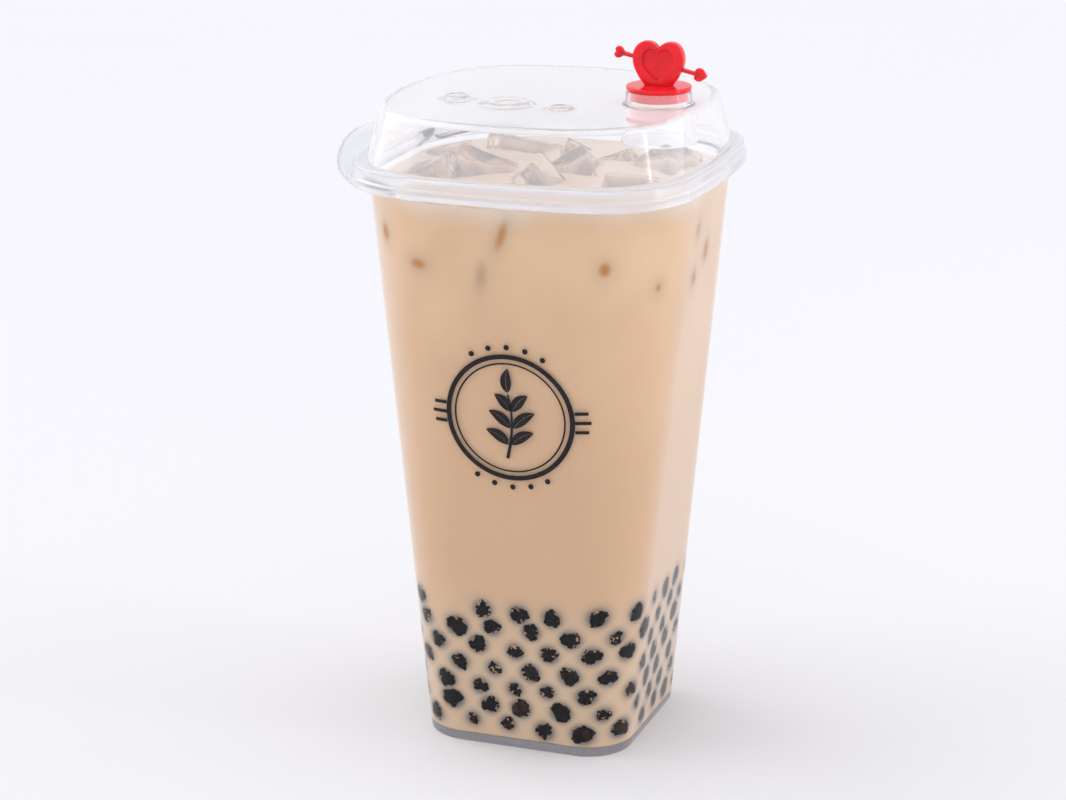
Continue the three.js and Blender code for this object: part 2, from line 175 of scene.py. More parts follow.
class IceSettings(bpy.types.PropertyGroup):
    """Shape and finish of the ice."""
    squareness: factor("Squareness", "Higher is squarer", 16.0, 2.0, 30.0)
    hollow: factor("Hollow", "How far the faces are melted in", 0.15, 0.0, 0.5)
    melt: factor("Melt", "Unevenness of the faces", 0.02, 0.0, 0.2)
    growth: factor("Growth", "Scale on each block's size", 1.08, 0.5, 1.5)
    clearness: factor("Clearness", "Share of the ice that is clear, not cloudy", 0.985)
    tint: colour("Tint", "Colour of the ice", 0.97, 0.94, 0.905)


class PrintSettings(bpy.types.PropertyGroup):
    """Place and colour of the sprig printed on the front."""
    middle_x: length("Middle across", "Middle of the print, from the cup's axis", 2.6)
    middle_z: length("Middle up", "Height of the print's middle", 98.0)
    ring: length("Ring", "Radius of the printed ring", 17.0)
    ink: colour("Ink", "Colour of the print", 0.010, 0.010, 0.012)


class StageSettings(bpy.types.PropertyGroup):
    """Floor, light and camera."""
    floor: colour("Floor", "Colour of the floor", 0.845, 0.836, 0.842)
    sky: colour("Surroundings", "Colour of the surrounding light", 0.93, 0.945, 1.0)
    sky_strength: factor("Surround strength", "Strength of the surrounding light", 0.935, 0.0, 5.0)
    key: factor("Key", "Strength of the broad light from the upper left", 1.15, 0.0, 20.0)
    fill: factor("Fill", "Strength of the broad light from the right", 0.7, 0.0, 20.0)
    strip: FloatProperty(name="Strip", description="Power of the narrow light at the corner",
                         default=0.85, min=0.0, max=100.0, unit="POWER", subtype="POWER")
    lens: FloatProperty(name="Lens", description="Focal length on a 36 mm wide sensor",
                        default=99.99, min=10.0, max=500.0, unit="CAMERA",
                        subtype="DISTANCE_CAMERA")


class BubbleTeaSettings(bpy.types.PropertyGroup):
    """All settings of the bubble tea."""
    cup: PointerProperty(type=CupSettings)
    lid: PointerProperty(type=LidSettings)
    stopper: PointerProperty(type=StopperSettings)
    drink: PointerProperty(type=DrinkSettings)
    pearls: PointerProperty(type=PearlSettings)
    ice: PointerProperty(type=IceSettings)
    print: PointerProperty(type=PrintSettings)
    stage: PointerProperty(type=StageSettings)
    detail: IntProperty(name="Detail", description="Points round the drink",
                        default=320, min=48, max=480)


# Outlines and profiles

def mix(low, high, share):
    """Between two values, in proportion."""
    return low + (high - low) * share


def cup_outline(z):
    """Outline of the cup's outer wall at a height: foot and mouth in proportion."""
    return mix(FOOT, MOUTH, np.asarray(z, float)[..., None] / MOUTH_HEIGHT)


def inset(outline, distance):
    """The outline moved inwards: half width and corner lose the distance, and the sides'
    radius, which is one over the bow, loses it too."""
    half, corner, bow = np.moveaxis(np.asarray(outline, float), -1, 0)
    return np.stack([half - distance, corner - distance, 1 / (1 / bow - distance)], -1)


def outline_radius(outline, angle):
    """Distance from the axis to a pressed square at an angle. Each side is an arc of radius
    one over bow, centred on the axis of its side, and each corner is an arc of the corner
    radius, centred on the diagonal so that the two arcs touch."""
    half, corner, bow = np.moveaxis(np.asarray(outline, float), -1, 0)
    side = 1 / bow
    side_centre = half - side
    reach = side - corner
    corner_centre = (side_centre + np.sqrt(2 * reach**2 - side_centre**2)) / 2
    quarter = np.pi / 2
    folded = np.mod(angle, quarter)
    turn = np.minimum(folded, quarter - folded)
    touch = np.arctan2(
        side * corner_centre / reach,
        side_centre + side * (corner_centre - side_centre) / reach,
    )
    on_side = side_centre * np.cos(turn) + np.sqrt(
        np.maximum(side**2 - (side_centre * np.sin(turn)) ** 2, 0)
    )
    along = corner_centre * (np.cos(turn) + np.sin(turn))
    on_corner = along + np.sqrt(np.maximum(corner**2 - 2 * corner_centre**2 + along**2, 0))
    return np.where(turn <= touch, on_side, on_corner)


def ring_angles(count, pull=0.45):
    """Angles round a ring, drawn together at the four corners by a sine of four turns."""
    even = np.arange(count) / count * 2 * np.pi
    return even + pull / 4 * np.sin(4 * even)


def rounded(points, radii, steps=6):
    """A profile with its corners rounded. The first two columns are the profile's plane and
    the others follow in proportion. At each corner with a radius, an arc touches the two
    straight pieces, shortened where they are short."""
    points = np.asarray(points, float)
    out = [points[0]]
    for i in range(1, len(points) - 1):
        before, here, after = points[i - 1], points[i], points[i + 1]
        back, on = before[:2] - here[:2], after[:2] - here[:2]
        back_length, on_length = np.hypot(*back), np.hypot(*on)
        cosine = np.dot(back, on) / (back_length * on_length)
        half_angle = math.acos(np.clip(cosine, -1, 1)) / 2
        if radii[i] <= 0 or half_angle > 1.55:
            out.append(here)
            continue
        cut = min(radii[i] / math.tan(half_angle), 0.48 * back_length, 0.48 * on_length)
        start = here + (before - here) * cut / back_length
        end = here + (after - here) * cut / on_length
        share = np.linspace(0, 1, steps + 1)[:, None]
        curve = (1 - share) ** 2 * start + 2 * share * (1 - share) * here + share**2 * end
        out.extend(curve)
    out.append(points[-1])
    return np.array(out)


def press(rows, angles):
    """Rings of a lathe pressed into square outlines: each row gives half width, corner, bow
    and height, and a row with no width is a point on the axis."""
    rows = np.asarray(rows, float)
    safe = np.where(rows[:, :1] > 1e-6, rows[:, :3], FOOT)
    radius = outline_radius(safe[:, None, :], angles[None, :])
    radius = np.where(rows[:, :1] > 1e-6, radius, 0)
    x, y = radius * np.cos(angles), radius * np.sin(angles)
    return np.stack([x, y, np.broadcast_to(rows[:, 3:4], x.shape)], -1)


# Meshes

def ring_faces(rows, count, closed=False):
    """Quads between neighbouring rings, each ring closed on itself."""
    i = np.arange(rows if closed else rows - 1)[:, None]
    j = np.arange(count)[None, :]
    after, ahead = (i + 1) % rows, (j + 1) % count
    quads = [i * count + j, i * count + ahead, after * count + ahead, after * count + j]
    return np.stack(np.broadcast_arrays(*quads), -1).reshape(-1, 4)


def shell(grid, first_pole=False, last_pole=False, closed=False):
    """Vertices and faces of rings. A pole replaces the first or last ring by one point."""
    rows, count = grid.shape[:2]
    faces = ring_faces(rows, count, closed).tolist()
    points = grid.reshape(-1, 3)
    ring = np.arange(count)
    ahead = (ring + 1) % count
    if first_pole:
        points = np.vstack([points, grid[0].mean(0)])
        pole = np.full(count, len(points) - 1)
        faces = faces[count:] + np.stack([pole, count + ahead, count + ring], -1).tolist()
    if last_pole:
        points = np.vstack([points, grid[-1].mean(0)])
        pole = np.full(count, len(points) - 1)
        last = (rows - 2) * count
        fan = np.stack([pole, last + ring, last + ahead], -1).tolist()
        body = [f for f in faces if len(f) == 3 or max(f) < (rows - 1) * count]
        faces = body + fan
    return points, faces


def make_object(name, points, faces, sharp=None, attributes=None):
    """A mesh object at the origin from points in millimetres. Unused points are dropped,
    doubles merged, and edges sharper than the angle are kept sharp."""
    mesh = bpy.data.meshes.new(name)
    mesh.from_pydata((np.asarray(points) * MM).tolist(), [], faces)
    for key, values in (attributes or {}).items():
        layer = mesh.attributes.new(key, "FLOAT", "POINT")
        layer.data.foreach_set("value", np.asarray(values, np.float32))
    work = bmesh.new()
    work.from_mesh(mesh)
    loose = [v for v in work.verts if not v.link_faces]
    bmesh.ops.delete(work, geom=loose, context="VERTS")
    bmesh.ops.remove_doubles(work, verts=work.verts, dist=2e-7)
    bmesh.ops.dissolve_degenerate(work, edges=work.edges, dist=1e-8)
    if work.calc_volume(signed=True) < 0:
        bmesh.ops.reverse_faces(work, faces=work.faces)
    work.to_mesh(mesh)
    work.free()
    mesh.shade_smooth()
    if sharp:
        mesh.set_sharp_from_angle(angle=math.radians(sharp))
    piece = bpy.data.objects.new(name, mesh)
    bpy.context.scene.collection.objects.link(piece)
    return piece


def joined(parts):
    """Several point and face lists as one."""
    points, faces, start = [], [], 0
    for part_points, part_faces in parts:
        points.append(part_points)
        faces.extend([[start + k for k in face] for face in part_faces])
        start += len(part_points)
    return np.vstack(points), faces


def set_up(piece, materials, slot, *nodes):
    """Gives a piece its finishes, sets it in the frame and hides the parts it replaces."""
    for material in materials:
        piece.data.materials.append(material)
    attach(piece, "root")
    if nodes:
        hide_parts(*nodes)


# Materials

def fresh_material(name, constants):
    """A material with a Principled shader, the constant inputs set, and its nodes."""
    material = bpy.data.materials.new(name)
    material.use_nodes = True
    tree = material.node_tree
    skin = tree.nodes["Principled BSDF"].inputs
    for key, value in constants.items():
        skin[key].default_value = value
    return material, tree, skin


def feed(node, index, value):
    """Links a socket to a node's input, or sets a value on it."""
    if isinstance(value, bpy.types.NodeSocket):
        node.id_data.links.new(value, node.inputs[index])
    else:
        node.inputs[index].default_value = value


def add_node(tree, kind, links=None, **settings):
    """A node with its settings, and links or values for its inputs by name or number."""
    node = tree.nodes.new(kind)
    for key, value in settings.items():
        setattr(node, key, value)
    for key, value in (links or {}).items():
        feed(node, key, value)
    return node


def calculate(tree, operation, *values):
    """The result of a sum on values or sockets."""
    return add_node(tree, "ShaderNodeMath", dict(enumerate(values)), operation=operation).outputs[0]


def smooth_step(tree, value, start, end):
    """A smooth step of a socket's value, 0 at the start and 1 at the end."""
    return add_node(tree, "ShaderNodeMapRange", {
        "Value": value, "From Min": start, "From Max": end,
    }, interpolation_type="SMOOTHSTEP").outputs["Result"]


def painted(tree, attribute):
    """The value of an attribute that the mesh carries."""
    return add_node(tree, "ShaderNodeAttribute", attribute_name=attribute).outputs["Fac"]


def object_height(tree):
    """The height over the floor in metres."""
    place = add_node(tree, "ShaderNodeTexCoord").outputs["Object"]
    return add_node(tree, "ShaderNodeSeparateXYZ", {"Vector": place}).outputs["Z"]


def noise_group(name, inputs, output, kind, build):
    """A node group with float inputs and one output, made once. The build function gets the
    group, its inputs and the object coordinates, and returns the socket for the output."""
    group = bpy.data.node_groups.get(name)
    if group:
        return group
    group = bpy.data.node_groups.new(name, "ShaderNodeTree")
    for key, default in inputs:
        socket = group.interface.new_socket(key, in_out="INPUT", socket_type="NodeSocketFloat")
        socket.default_value = default
    group.interface.new_socket(output, in_out="OUTPUT", socket_type=kind)
    given = group.nodes.new("NodeGroupInput").outputs
    put = group.nodes.new("NodeGroupOutput")
    place = add_node(group, "ShaderNodeTexCoord").outputs["Object"]
    group.links.new(build(group, given, place), put.inputs[output])
    return group


def ripple(group, given, place):
    """Slow noise as a bump."""
    noise = add_node(group, "ShaderNodeTexNoise", {
        "Vector": place, "Scale": given["Scale"], "Detail": 1.5,
    })
    return add_node(group, "ShaderNodeBump", {
        "Height": noise.outputs["Fac"], "Strength": given["Strength"],
        "Distance": given["Distance"],
    }).outputs["Normal"]


def clouds(group, given, place):
    """Twisted noise, spread between two levels."""
    noise = add_node(group, "ShaderNodeTexNoise", {
        "Vector": place, "Scale": given["Scale"], "Detail": 3.0, "Roughness": 0.5,
        "Distortion": 0.4,
    })
    return smooth_step(group, noise.outputs["Fac"], given["Low"], given["High"])


def add_ripple(tree, scale, strength, distance):
    """The slow ripple of moulded plastic or melting ice, as a normal."""
    group = noise_group(
        "moulded_ripple", (("Scale", 60.0), ("Strength", 0.1), ("Distance", 0.0005)),
        "Normal", "NodeSocketVector", ripple,
    )
    values = {"Scale": scale, "Strength": strength, "Distance": distance}
    return add_node(tree, "ShaderNodeGroup", values, node_tree=group).outputs["Normal"]


def add_clouds(tree, scale, low, high):
    """Soft clouds between 0 and 1, as milk swirling in tea or unevenness in a colour."""
    group = noise_group(
        "soft_clouds", (("Scale", 20.0), ("Low", 0.35), ("High", 0.65)),
        "Clouds", "NodeSocketFloat", clouds,
    )
    values = {"Scale": scale, "Low": low, "High": high}
    return add_node(tree, "ShaderNodeGroup", values, node_tree=group).outputs["Clouds"]


def blend_colour(tree, mask, low, high):
    """A colour between two, by a mask. Each may be a colour or a socket."""
    node = add_node(tree, "ShaderNodeMix", {0: mask}, data_type="RGBA")
    for index, value in ((6, low), (7, high)):
        is_socket = isinstance(value, bpy.types.NodeSocket)
        feed(node, index, value if is_socket else (*tuple(value)[:3], 1.0))
    return node.outputs[2]


def below_mask(tree, height, soft):
    """A mask that is 1 under a height in metres and fades to 0 over a short way above it."""
    return smooth_step(tree, object_height(tree), height + soft, height)


def clear_material(name, tint, clearness, roughness, index, bumps, shadow, specular):
    """A clear material that lets light through to what lies behind it: for shadows and for
    light scattered by the contents it is a plain thin filter. What isn't clear is milky."""
    material, tree, skin = fresh_material(name, {
        "Base Color": (*tint, 1.0), "Transmission Weight": clearness, "IOR": index,
        "Roughness": roughness, "Specular IOR Level": specular,
    })
    tree.links.new(add_ripple(tree, *bumps), skin["Normal"])
    rays = add_node(tree, "ShaderNodeLightPath").outputs
    either = calculate(tree, "MAXIMUM", rays["Is Shadow Ray"], rays["Is Diffuse Ray"])
    thin = add_node(tree, "ShaderNodeBsdfTransparent", {"Color": (*shadow, 1.0)})
    solid = tree.nodes["Principled BSDF"]
    both = add_node(tree, "ShaderNodeMixShader", {
        0: either, 1: solid.outputs[0], 2: thin.outputs[0],
    })
    tree.links.new(both.outputs[0], tree.nodes["Material Output"].inputs["Surface"])
    return material


def drink_material(drink):
    """Milk tea: two shades in slow clouds, paler near the top, darker under a thin film of milk
    where a pearl lies close behind the wall, and amber where ice rests on it. Painted light
    too: a painted sheen where the wall is seen at a slant, painted shade in the pits under
    the ice and painted grey shade round the ice marks."""
    material, tree, skin = fresh_material("milk_tea", {
        "Roughness": 0.22, "IOR": 1.34, "Subsurface Weight": 0.25,
        "Subsurface Radius": (1.0, 0.7, 0.45), "Subsurface Scale": 0.0025,
    })
    rise = smooth_step(tree, object_height(tree), 0.07, 0.142)
    share = calculate(tree, "MULTIPLY", add_clouds(tree, 24.0, 0.30, 0.68), rise)
    # Painted sheen: paler where the wall is seen at a slant, from the Layer Weight's facing
    painted_sheen = add_node(tree, "ShaderNodeMapRange", {
        "Value": add_node(tree, "ShaderNodeLayerWeight", {"Blend": 0.5}).outputs["Facing"],
        "From Min": 0.17, "From Max": 0.26, "To Max": 0.42,
    }).outputs["Result"]
    tone = drink.milk
    # Painted light among these: the slant colour is a painted sheen, the colour in the pits under
    # the ice is painted shade, and the pearl shade also holds the painted grey shade round the ice
    # marks
    for mask, over in (
        (share, drink.pale), (below_mask(tree, 0.026, 0.028), drink.settled),
        (painted_sheen, drink.slant), (painted(tree, "brim"), drink.foam),
        (painted(tree, "pit_shade"), drink.pit_shade), (painted(tree, "amber"), drink.amber),
        (painted(tree, "pearl_and_ice_shade"), drink.shade),
    ):
        tone = blend_colour(tree, mask, tone, over)
    tree.links.new(tone, skin["Base Color"])
    return material


def pearl_material(pearls, milk):
    """Tapioca: black, some pearls and patches brown, and slightly uneven. At the ragged edge
    of the patch that touches the cup, a little milk has crept in."""
    material, tree, skin = fresh_material("tapioca", {
        "Roughness": 0.4, "Specular IOR Level": 0.02,
    })
    share = calculate(
        tree, "MULTIPLY", add_clouds(tree, 260.0, 0.42, 0.75), painted(tree, "brown"),
    )
    tone = blend_colour(tree, share, pearls.black, pearls.brown)
    nibbled = calculate(
        tree, "MULTIPLY_ADD", painted(tree, "pressed"), 0.7,
        add_clouds(tree, 900.0, 0.28, 0.72),
    )
    crept = smooth_step(tree, nibbled, 0.30, 0.17)
    tone = blend_colour(tree, crept, tone, [0.6 * channel for channel in milk])
    tree.links.new(tone, skin["Base Color"])
    tree.links.new(add_ripple(tree, 500.0, 0.25, 0.0003), skin["Normal"])
    return material


def cloudy_material(name, spread, first, second, constants):
    """A plain material whose colour wavers between two in soft clouds."""
    material, tree, skin = fresh_material(name, constants)
    tone = blend_colour(tree, add_clouds(tree, *spread), first, second)
    tree.links.new(tone, skin["Base Color"])
    return material, tree, skin


def stopper_material(red):
    """Red moulded plastic that glows a little at thin edges."""
    material, tree, skin = cloudy_material(
        "red_plastic", (90.0, 0.3, 0.7), [channel * 0.8 for channel in red], red, {
            "Roughness": 0.16, "Subsurface Weight": 0.5, "Specular IOR Level": 0.35,
            "Subsurface Radius": (1.0, 0.12, 0.08), "Subsurface Scale": 0.0015,
        })
    tree.links.new(add_ripple(tree, 350.0, 0.15, 0.0002), skin["Normal"])
    return material


def ink_material(ink):
    """Satin black screen print with a faint unevenness."""
    return cloudy_material(
        "print_ink", (400.0, 0.35, 0.7), ink, [channel * 1.6 for channel in ink],
        {"Roughness": 0.35, "Specular IOR Level": 0.2},
    )[0]


def floor_material(tone):
    """Pale matt board with a faint mottling."""
    return cloudy_material(
        "pale_board", (3.0, 0.3, 0.7), tone, [min(1.0, c * 1.006) for c in tone],
        {"Roughness": 0.6, "Specular IOR Level": 0.2},
    )[0]


# Pieces

def settings():
    """The scene's bubble tea settings."""
    return bpy.context.scene.bubble_tea


class BUBBLETEA_OT_cup(bpy.types.Operator):
    """Build the clear cup: a foot, four bowed walls that flare upwards and a thicker lip"""
    bl_idname = "bubble_tea.cup"
    bl_label = "Cup"

    def execute(self, context):
        cup = settings().cup
        wall, floor, edge = cup.wall / MM, cup.floor / MM, cup.foot_edge / MM
        count, border = 28, 8  # rows of a wall, and width of the outer ring of the floor
        outer = [[*cup_outline(z), z] for z in np.linspace(6, MOUTH_HEIGHT - 1, count)]
        inner = [
            [*inset(cup_outline(z), wall), z]
            for z in np.linspace(CUP_HEIGHT - 5, floor + 5, count)
        ]
        lip_low = CUP_HEIGHT - 3.1
        points = [
            [*CENTRE, 0], [*inset(FOOT, border), 0], [*FOOT, 0], *outer,
            [*cup_outline(MOUTH_HEIGHT), MOUTH_HEIGHT], [*LIP, lip_low],
            [*LIP, CUP_HEIGHT], [*inset(cup_outline(CUP_HEIGHT), wall), CUP_HEIGHT], *inner,
            [*inset(cup_outline(floor), wall), floor],
            [*inset(cup_outline(floor), wall + border), floor], [*CENTRE, floor],
        ]
        lip_radii = [0.5, 0.4, 0.5, 0.4]
        radii = [0, 0, edge] + [0] * count + lip_radii + [0] * count + [1.6, 0, 0]
        rows = to_profile(points, radii)
        grid = press(rows, ring_angles(192))
        piece = make_object("cup_wall", *shell(grid, True, True), sharp=50)
        clear = clear_material(
            "clear_cup", cup.tint, cup.clearness, cup.roughness, 1.49, (45.0, 0.12, 0.0006),
            (0.95, 0.955, 0.965), 0.22,
        )
        tree = clear.node_tree
        skin = tree.nodes["Principled BSDF"].inputs
        skin["Specular Tint"].default_value = (0.4, 0.4, 0.4, 1.0)
        at_floor = below_mask(tree, floor * MM, 0.0004)
        tree.links.new(blend_colour(tree, at_floor, cup.tint, cup.base_tint), skin["Base Color"])
        set_up(piece, [clear], "cup", "cup")
        return {"FINISHED"}


def to_profile(points, radii):
    """Rounds a list of outline rows in the plane of half width and height."""
    points = np.asarray(points, float)
    swapped = points[:, [0, 3, 1, 2]]
    return rounded(swapped, radii)[:, [0, 2, 3, 1]]


LID_RIPPLE = (70.0, 0.10, 0.0005)
MARKERS = np.array([  # raised drink markers: x, y, radius, rise
    [-22.0, -12.0, 3.9, 1.1], [-7.0, -14.0, 6.8, 0.8], [8.0, -15.5, 3.4, 0.7],
])


def marker_rise(x, y):
    """Height of the embossed markers: each is a disc with a smooth step at its edge and a
    shallow dish in its middle."""
    height = np.zeros_like(x)
    for mx, my, radius, rise in MARKERS:
        away = np.hypot(x - mx, y - my) / radius
        step = np.clip((1.0 - away) / 0.16, 0, 1)
        dish = np.clip((0.62 - away) / 0.14, 0, 1)
        smooth = step * step * (3 - 2 * step) - 0.55 * dish * dish * (3 - 2 * dish)
        height = np.maximum(height, rise * smooth)
    return height


def tab_reach(angles, reach):
    """How far the pull tab stands out of the flange: a bulge on the left, one minus a power
    of the share of the half angle."""
    turn = np.abs(np.degrees(np.mod(angles, 2 * np.pi)) - 180) / 40
    return np.where(turn < 1, reach * (1 - np.minimum(turn, 1) ** 1.8), 0)


class BUBBLETEA_OT_lid(bpy.types.Operator):
    """Build the clear lid: flange, bead, dome, markers, spout and pull tab in one surface"""
    bl_idname = "bubble_tea.lid"
    bl_label = "Lid"

    def execute(self, context):
        lid = settings().lid
        wall, top, shoulder = lid.wall / MM, lid.top / MM, lid.shoulder / MM
        angles = ring_angles(240, 0.25)
        edge = np.array([[*inset(DOME_TOP, shoulder), top]])
        ring = press(edge, angles)[0]
        toward = np.arctan2(ring[:, 1], ring[:, 0] - SPOUT_X)

        def spout(profile):
            """Circles round the spout's axis, each point in line with its dome point."""
            radius, z = profile[:, :1], profile[:, 1:2]
            x = SPOUT_X + radius * np.cos(toward)
            y = radius * np.sin(toward)
            return np.stack([x, y, np.broadcast_to(z, x.shape)], -1)

        def plate(circle, outline, count):
            """Rows in proportion between a circle and an outline, both at one height."""
            share = np.linspace(0, 1, count + 2)[1:-1, None, None]
            return mix(circle, outline, share)

        step = 0.8  # how far the bead stands in from the flange
        bead = inset(FLANGE, step)
        dome = [
            [*DOME_TOP, top], [*DOME_BASE, 161.25], [*bead, 161.7], [*bead, 158.75],
            [*FLANGE, 158.4], [*FLANGE, 157.35],
        ]
        dome_radii = [shoulder, 0.6, 0.7, 0.35, 0.35, 0]
        outside = to_profile([[*inset(DOME_TOP, 6), top]] + dome, [0] + dome_radii)[1:]
        flange_end = [[*FLANGE, FLANGE_BOTTOM], [*inset(FLANGE, wall), FLANGE_BOTTOM]]
        skirt = inset(FLANGE, step + wall)
        dome_in, top_in = inset(DOME_BASE, wall), inset(DOME_TOP, wall)
        inside = to_profile(
            [[*FLANGE, 157.0]] + flange_end + [
                [*skirt, 158.5], [*skirt, 160.5], [*dome_in, 160.5],
                [*top_in, top - wall], [*inset(DOME_TOP, 6), top - wall],
            ],
            [0, 0.35, 0.35, 0.3, 0.5, 0.5, shoulder - wall / 2, 0],
        )[1:-1]
        reach = tab_reach(angles, lid.tab_reach / MM)
        tab_path = np.array([  # share of the reach, height over the flange's bottom
            [0.0, 1.45], [0.2, 1.1], [0.5, 1.05], [0.78, 1.05], [0.84, 1.2], [0.9, 1.5],
            [0.96, 1.35], [0.995, 0.95], [1.0, 0.6], [0.985, 0.2], [0.95, 0.05],
            [0.86, 0.0], [0.8, 0.2], [0.5, 0.25], [0.25, 0.1],
        ])
        out = tab_path[:, :1] * reach
        radius = outline_radius(FLANGE, angles) + out
        plain = np.linspace(1.4, 0.4, len(tab_path))[:, None]
        high = FLANGE_BOTTOM + np.where(reach > 0, tab_path[:, 1:2], plain)
        tab = np.stack([
            radius * np.cos(angles), radius * np.sin(angles), high + lid.tab_rise * out,
        ], -1)
        high_rim, low_rim = lid.spout_top / MM, lid.spout_bottom / MM
        slope = (SPOUT_FOOT - SPOUT_MOUTH) / (high_rim - low_rim)
        at_top = SPOUT_MOUTH + slope * (high_rim - top)
        bore = rounded(
            [[at_top + 3, top], [at_top, top], [SPOUT_MOUTH, high_rim],
             [SPOUT_MOUTH - SPOUT_WALL, high_rim], [SPOUT_FOOT - SPOUT_WALL, low_rim],
             [SPOUT_FOOT, low_rim], [at_top + slope * wall, top - wall],
             [at_top + 3, top - wall]],
            [0, 0.8, 0.35, 0.35, 0.35, 0.35, 0.6, 0],
        )[1:-1]
        chimney = spout(bore)
        pressed_out = press(outside, angles)
        pressed_in = press(inside, angles)
        upper = plate(pressed_out[0], chimney[0], 80)
        lower = plate(chimney[-1], pressed_in[-1], 60)
        for sheet in (upper, lower):
            sheet[..., 2] += marker_rise(sheet[..., 0], sheet[..., 1])
        grid = np.concatenate([
            chimney, lower, pressed_in[::-1], tab[::-1], pressed_out[::-1], upper,
        ])
        piece = make_object("lid_shell", *shell(grid, closed=True), sharp=60)
        materials = [
            clear_material(name, tint, clearness, roughness, index, LID_RIPPLE, shadow, 0.35)
            for name, tint, clearness, roughness, index, shadow in (
                ("clear_lid", lid.tint, lid.clearness, lid.roughness, 1.38, (0.97, 0.97, 0.975)),
                ("milky_rim", lid.rim_tint, lid.rim_clearness, lid.rim_roughness, 1.42,
                 (0.95, 0.955, 0.965)),
                ("clear_spout", lid.tint, 0.97, lid.roughness, 1.38, (0.98, 0.98, 0.985)),
            )
        ]
        set_up(piece, materials, "lid", "lid")
        middles = np.empty(len(piece.data.polygons) * 3)
        piece.data.polygons.foreach_get("center", middles)
        middles = middles.reshape(-1, 3) / MM
        in_spout = np.hypot(middles[:, 0] - SPOUT_X, middles[:, 1]) < SPOUT_FOOT + 0.4
        in_spout &= middles[:, 2] < top - wall - 0.3
        finish = (middles[:, 2] < RIM_TOP) + 2 * in_spout
        piece.data.polygons.foreach_set("material_index", finish.astype(np.int32))
        return {"FINISHED"}


def bezier(start, first, second, end, count):
    """Points along a cubic curve, without its end."""
    share = (np.arange(count) / count)[:, None]
    rest = 1 - share
    return (
        rest**3 * np.array(start) + 3 * rest**2 * share * np.array(first)
        + 3 * rest * share**2 * np.array(second) + share**3 * np.array(end)
    )


def heart_outline(half, foot, bottom, top, count=24):
    """A heart as cubic curves: flanks, lobes and notch on the right, mirrored on the left,
    and a short straight foot."""
    tall = top - bottom
    widest, notch = bottom + tall * 0.62, top - tall * 0.15
    lean = foot + (half - foot) * 0.45
    flank = bezier((foot, bottom), (lean, bottom + tall * 0.17),
                   (half, bottom + tall * 0.37), (half, widest), count)
    lobe = bezier((half, widest), (half, bottom + tall * 0.85), (half * 0.76, top),
                  (half * 0.47, top), count)
    dip = bezier((half * 0.47, top), (half * 0.26, top), (half * 0.09, top - tall * 0.06),
                 (0, notch), count)
    right = np.vstack([flank, lobe, dip])
    left = right[::-1] * [-1, 1]
    middle = np.array([[0.0, notch]])
    base = np.linspace(-foot, foot, 8)[1:-1]
    return np.vstack([right, middle, left, np.stack([base, np.full(6, bottom)], -1)])


def pillow(outline, inner, layers):
    """A plate with shaped faces. Each layer is a share of the way from the outline to the
    inner outline, a distance in from the outline, and a depth, and rings run from the back
    pole to the front pole."""
    centre = inner.mean(0)
    across = inner - outline
    width = np.maximum(np.linalg.norm(across, axis=1, keepdims=True), 1e-6)
    rings = []
    for share, distance, shrink, depth in layers:
        ring = outline + across * share + across / width * np.minimum(distance, width * 0.9)
        ring = mix(ring, centre, shrink)
        rings.append(np.column_stack([ring[:, 0], np.full(len(ring), depth), ring[:, 1]]))
    return shell(np.array(rings), True, True)


def plate_layers(thickness, edge, recess=0.0, steps=5):
    """Layers of a pillow plate with rounded edges, and a recess inside the inner outline."""
    half = thickness / 2
    turn = np.linspace(0, np.pi / 2, steps)
    front = [[0, edge * (1 - math.cos(a)), 0, half - edge + edge * math.sin(a)] for a in turn]
    if recess:
        front += [[0.55, 0, 0, half + 0.02], [0.93, 0, 0, half], [0.98, 0, 0, half - 0.04]]
        front += [[1, 0, 0.0, half - 0.12], [1, 0, 0.04, half - recess * 0.85]]
        front += [[1, 0, 0.08, half - recess * 0.97], [1, 0, 0.13, half - recess]]
        front += [[1, 0, 0.5, half - recess * 0.93], [1, 0, 1, half - recess * 0.9]]
    else:
        front += [[0.5, 0, 0, half + 0.03], [1, 0, 0, half + 0.06], [1, 0, 1, half + 0.08]]
    front = np.array(front)
    back = front[::-1] * [1, 1, 1, -1]
    return np.vstack([back, front])


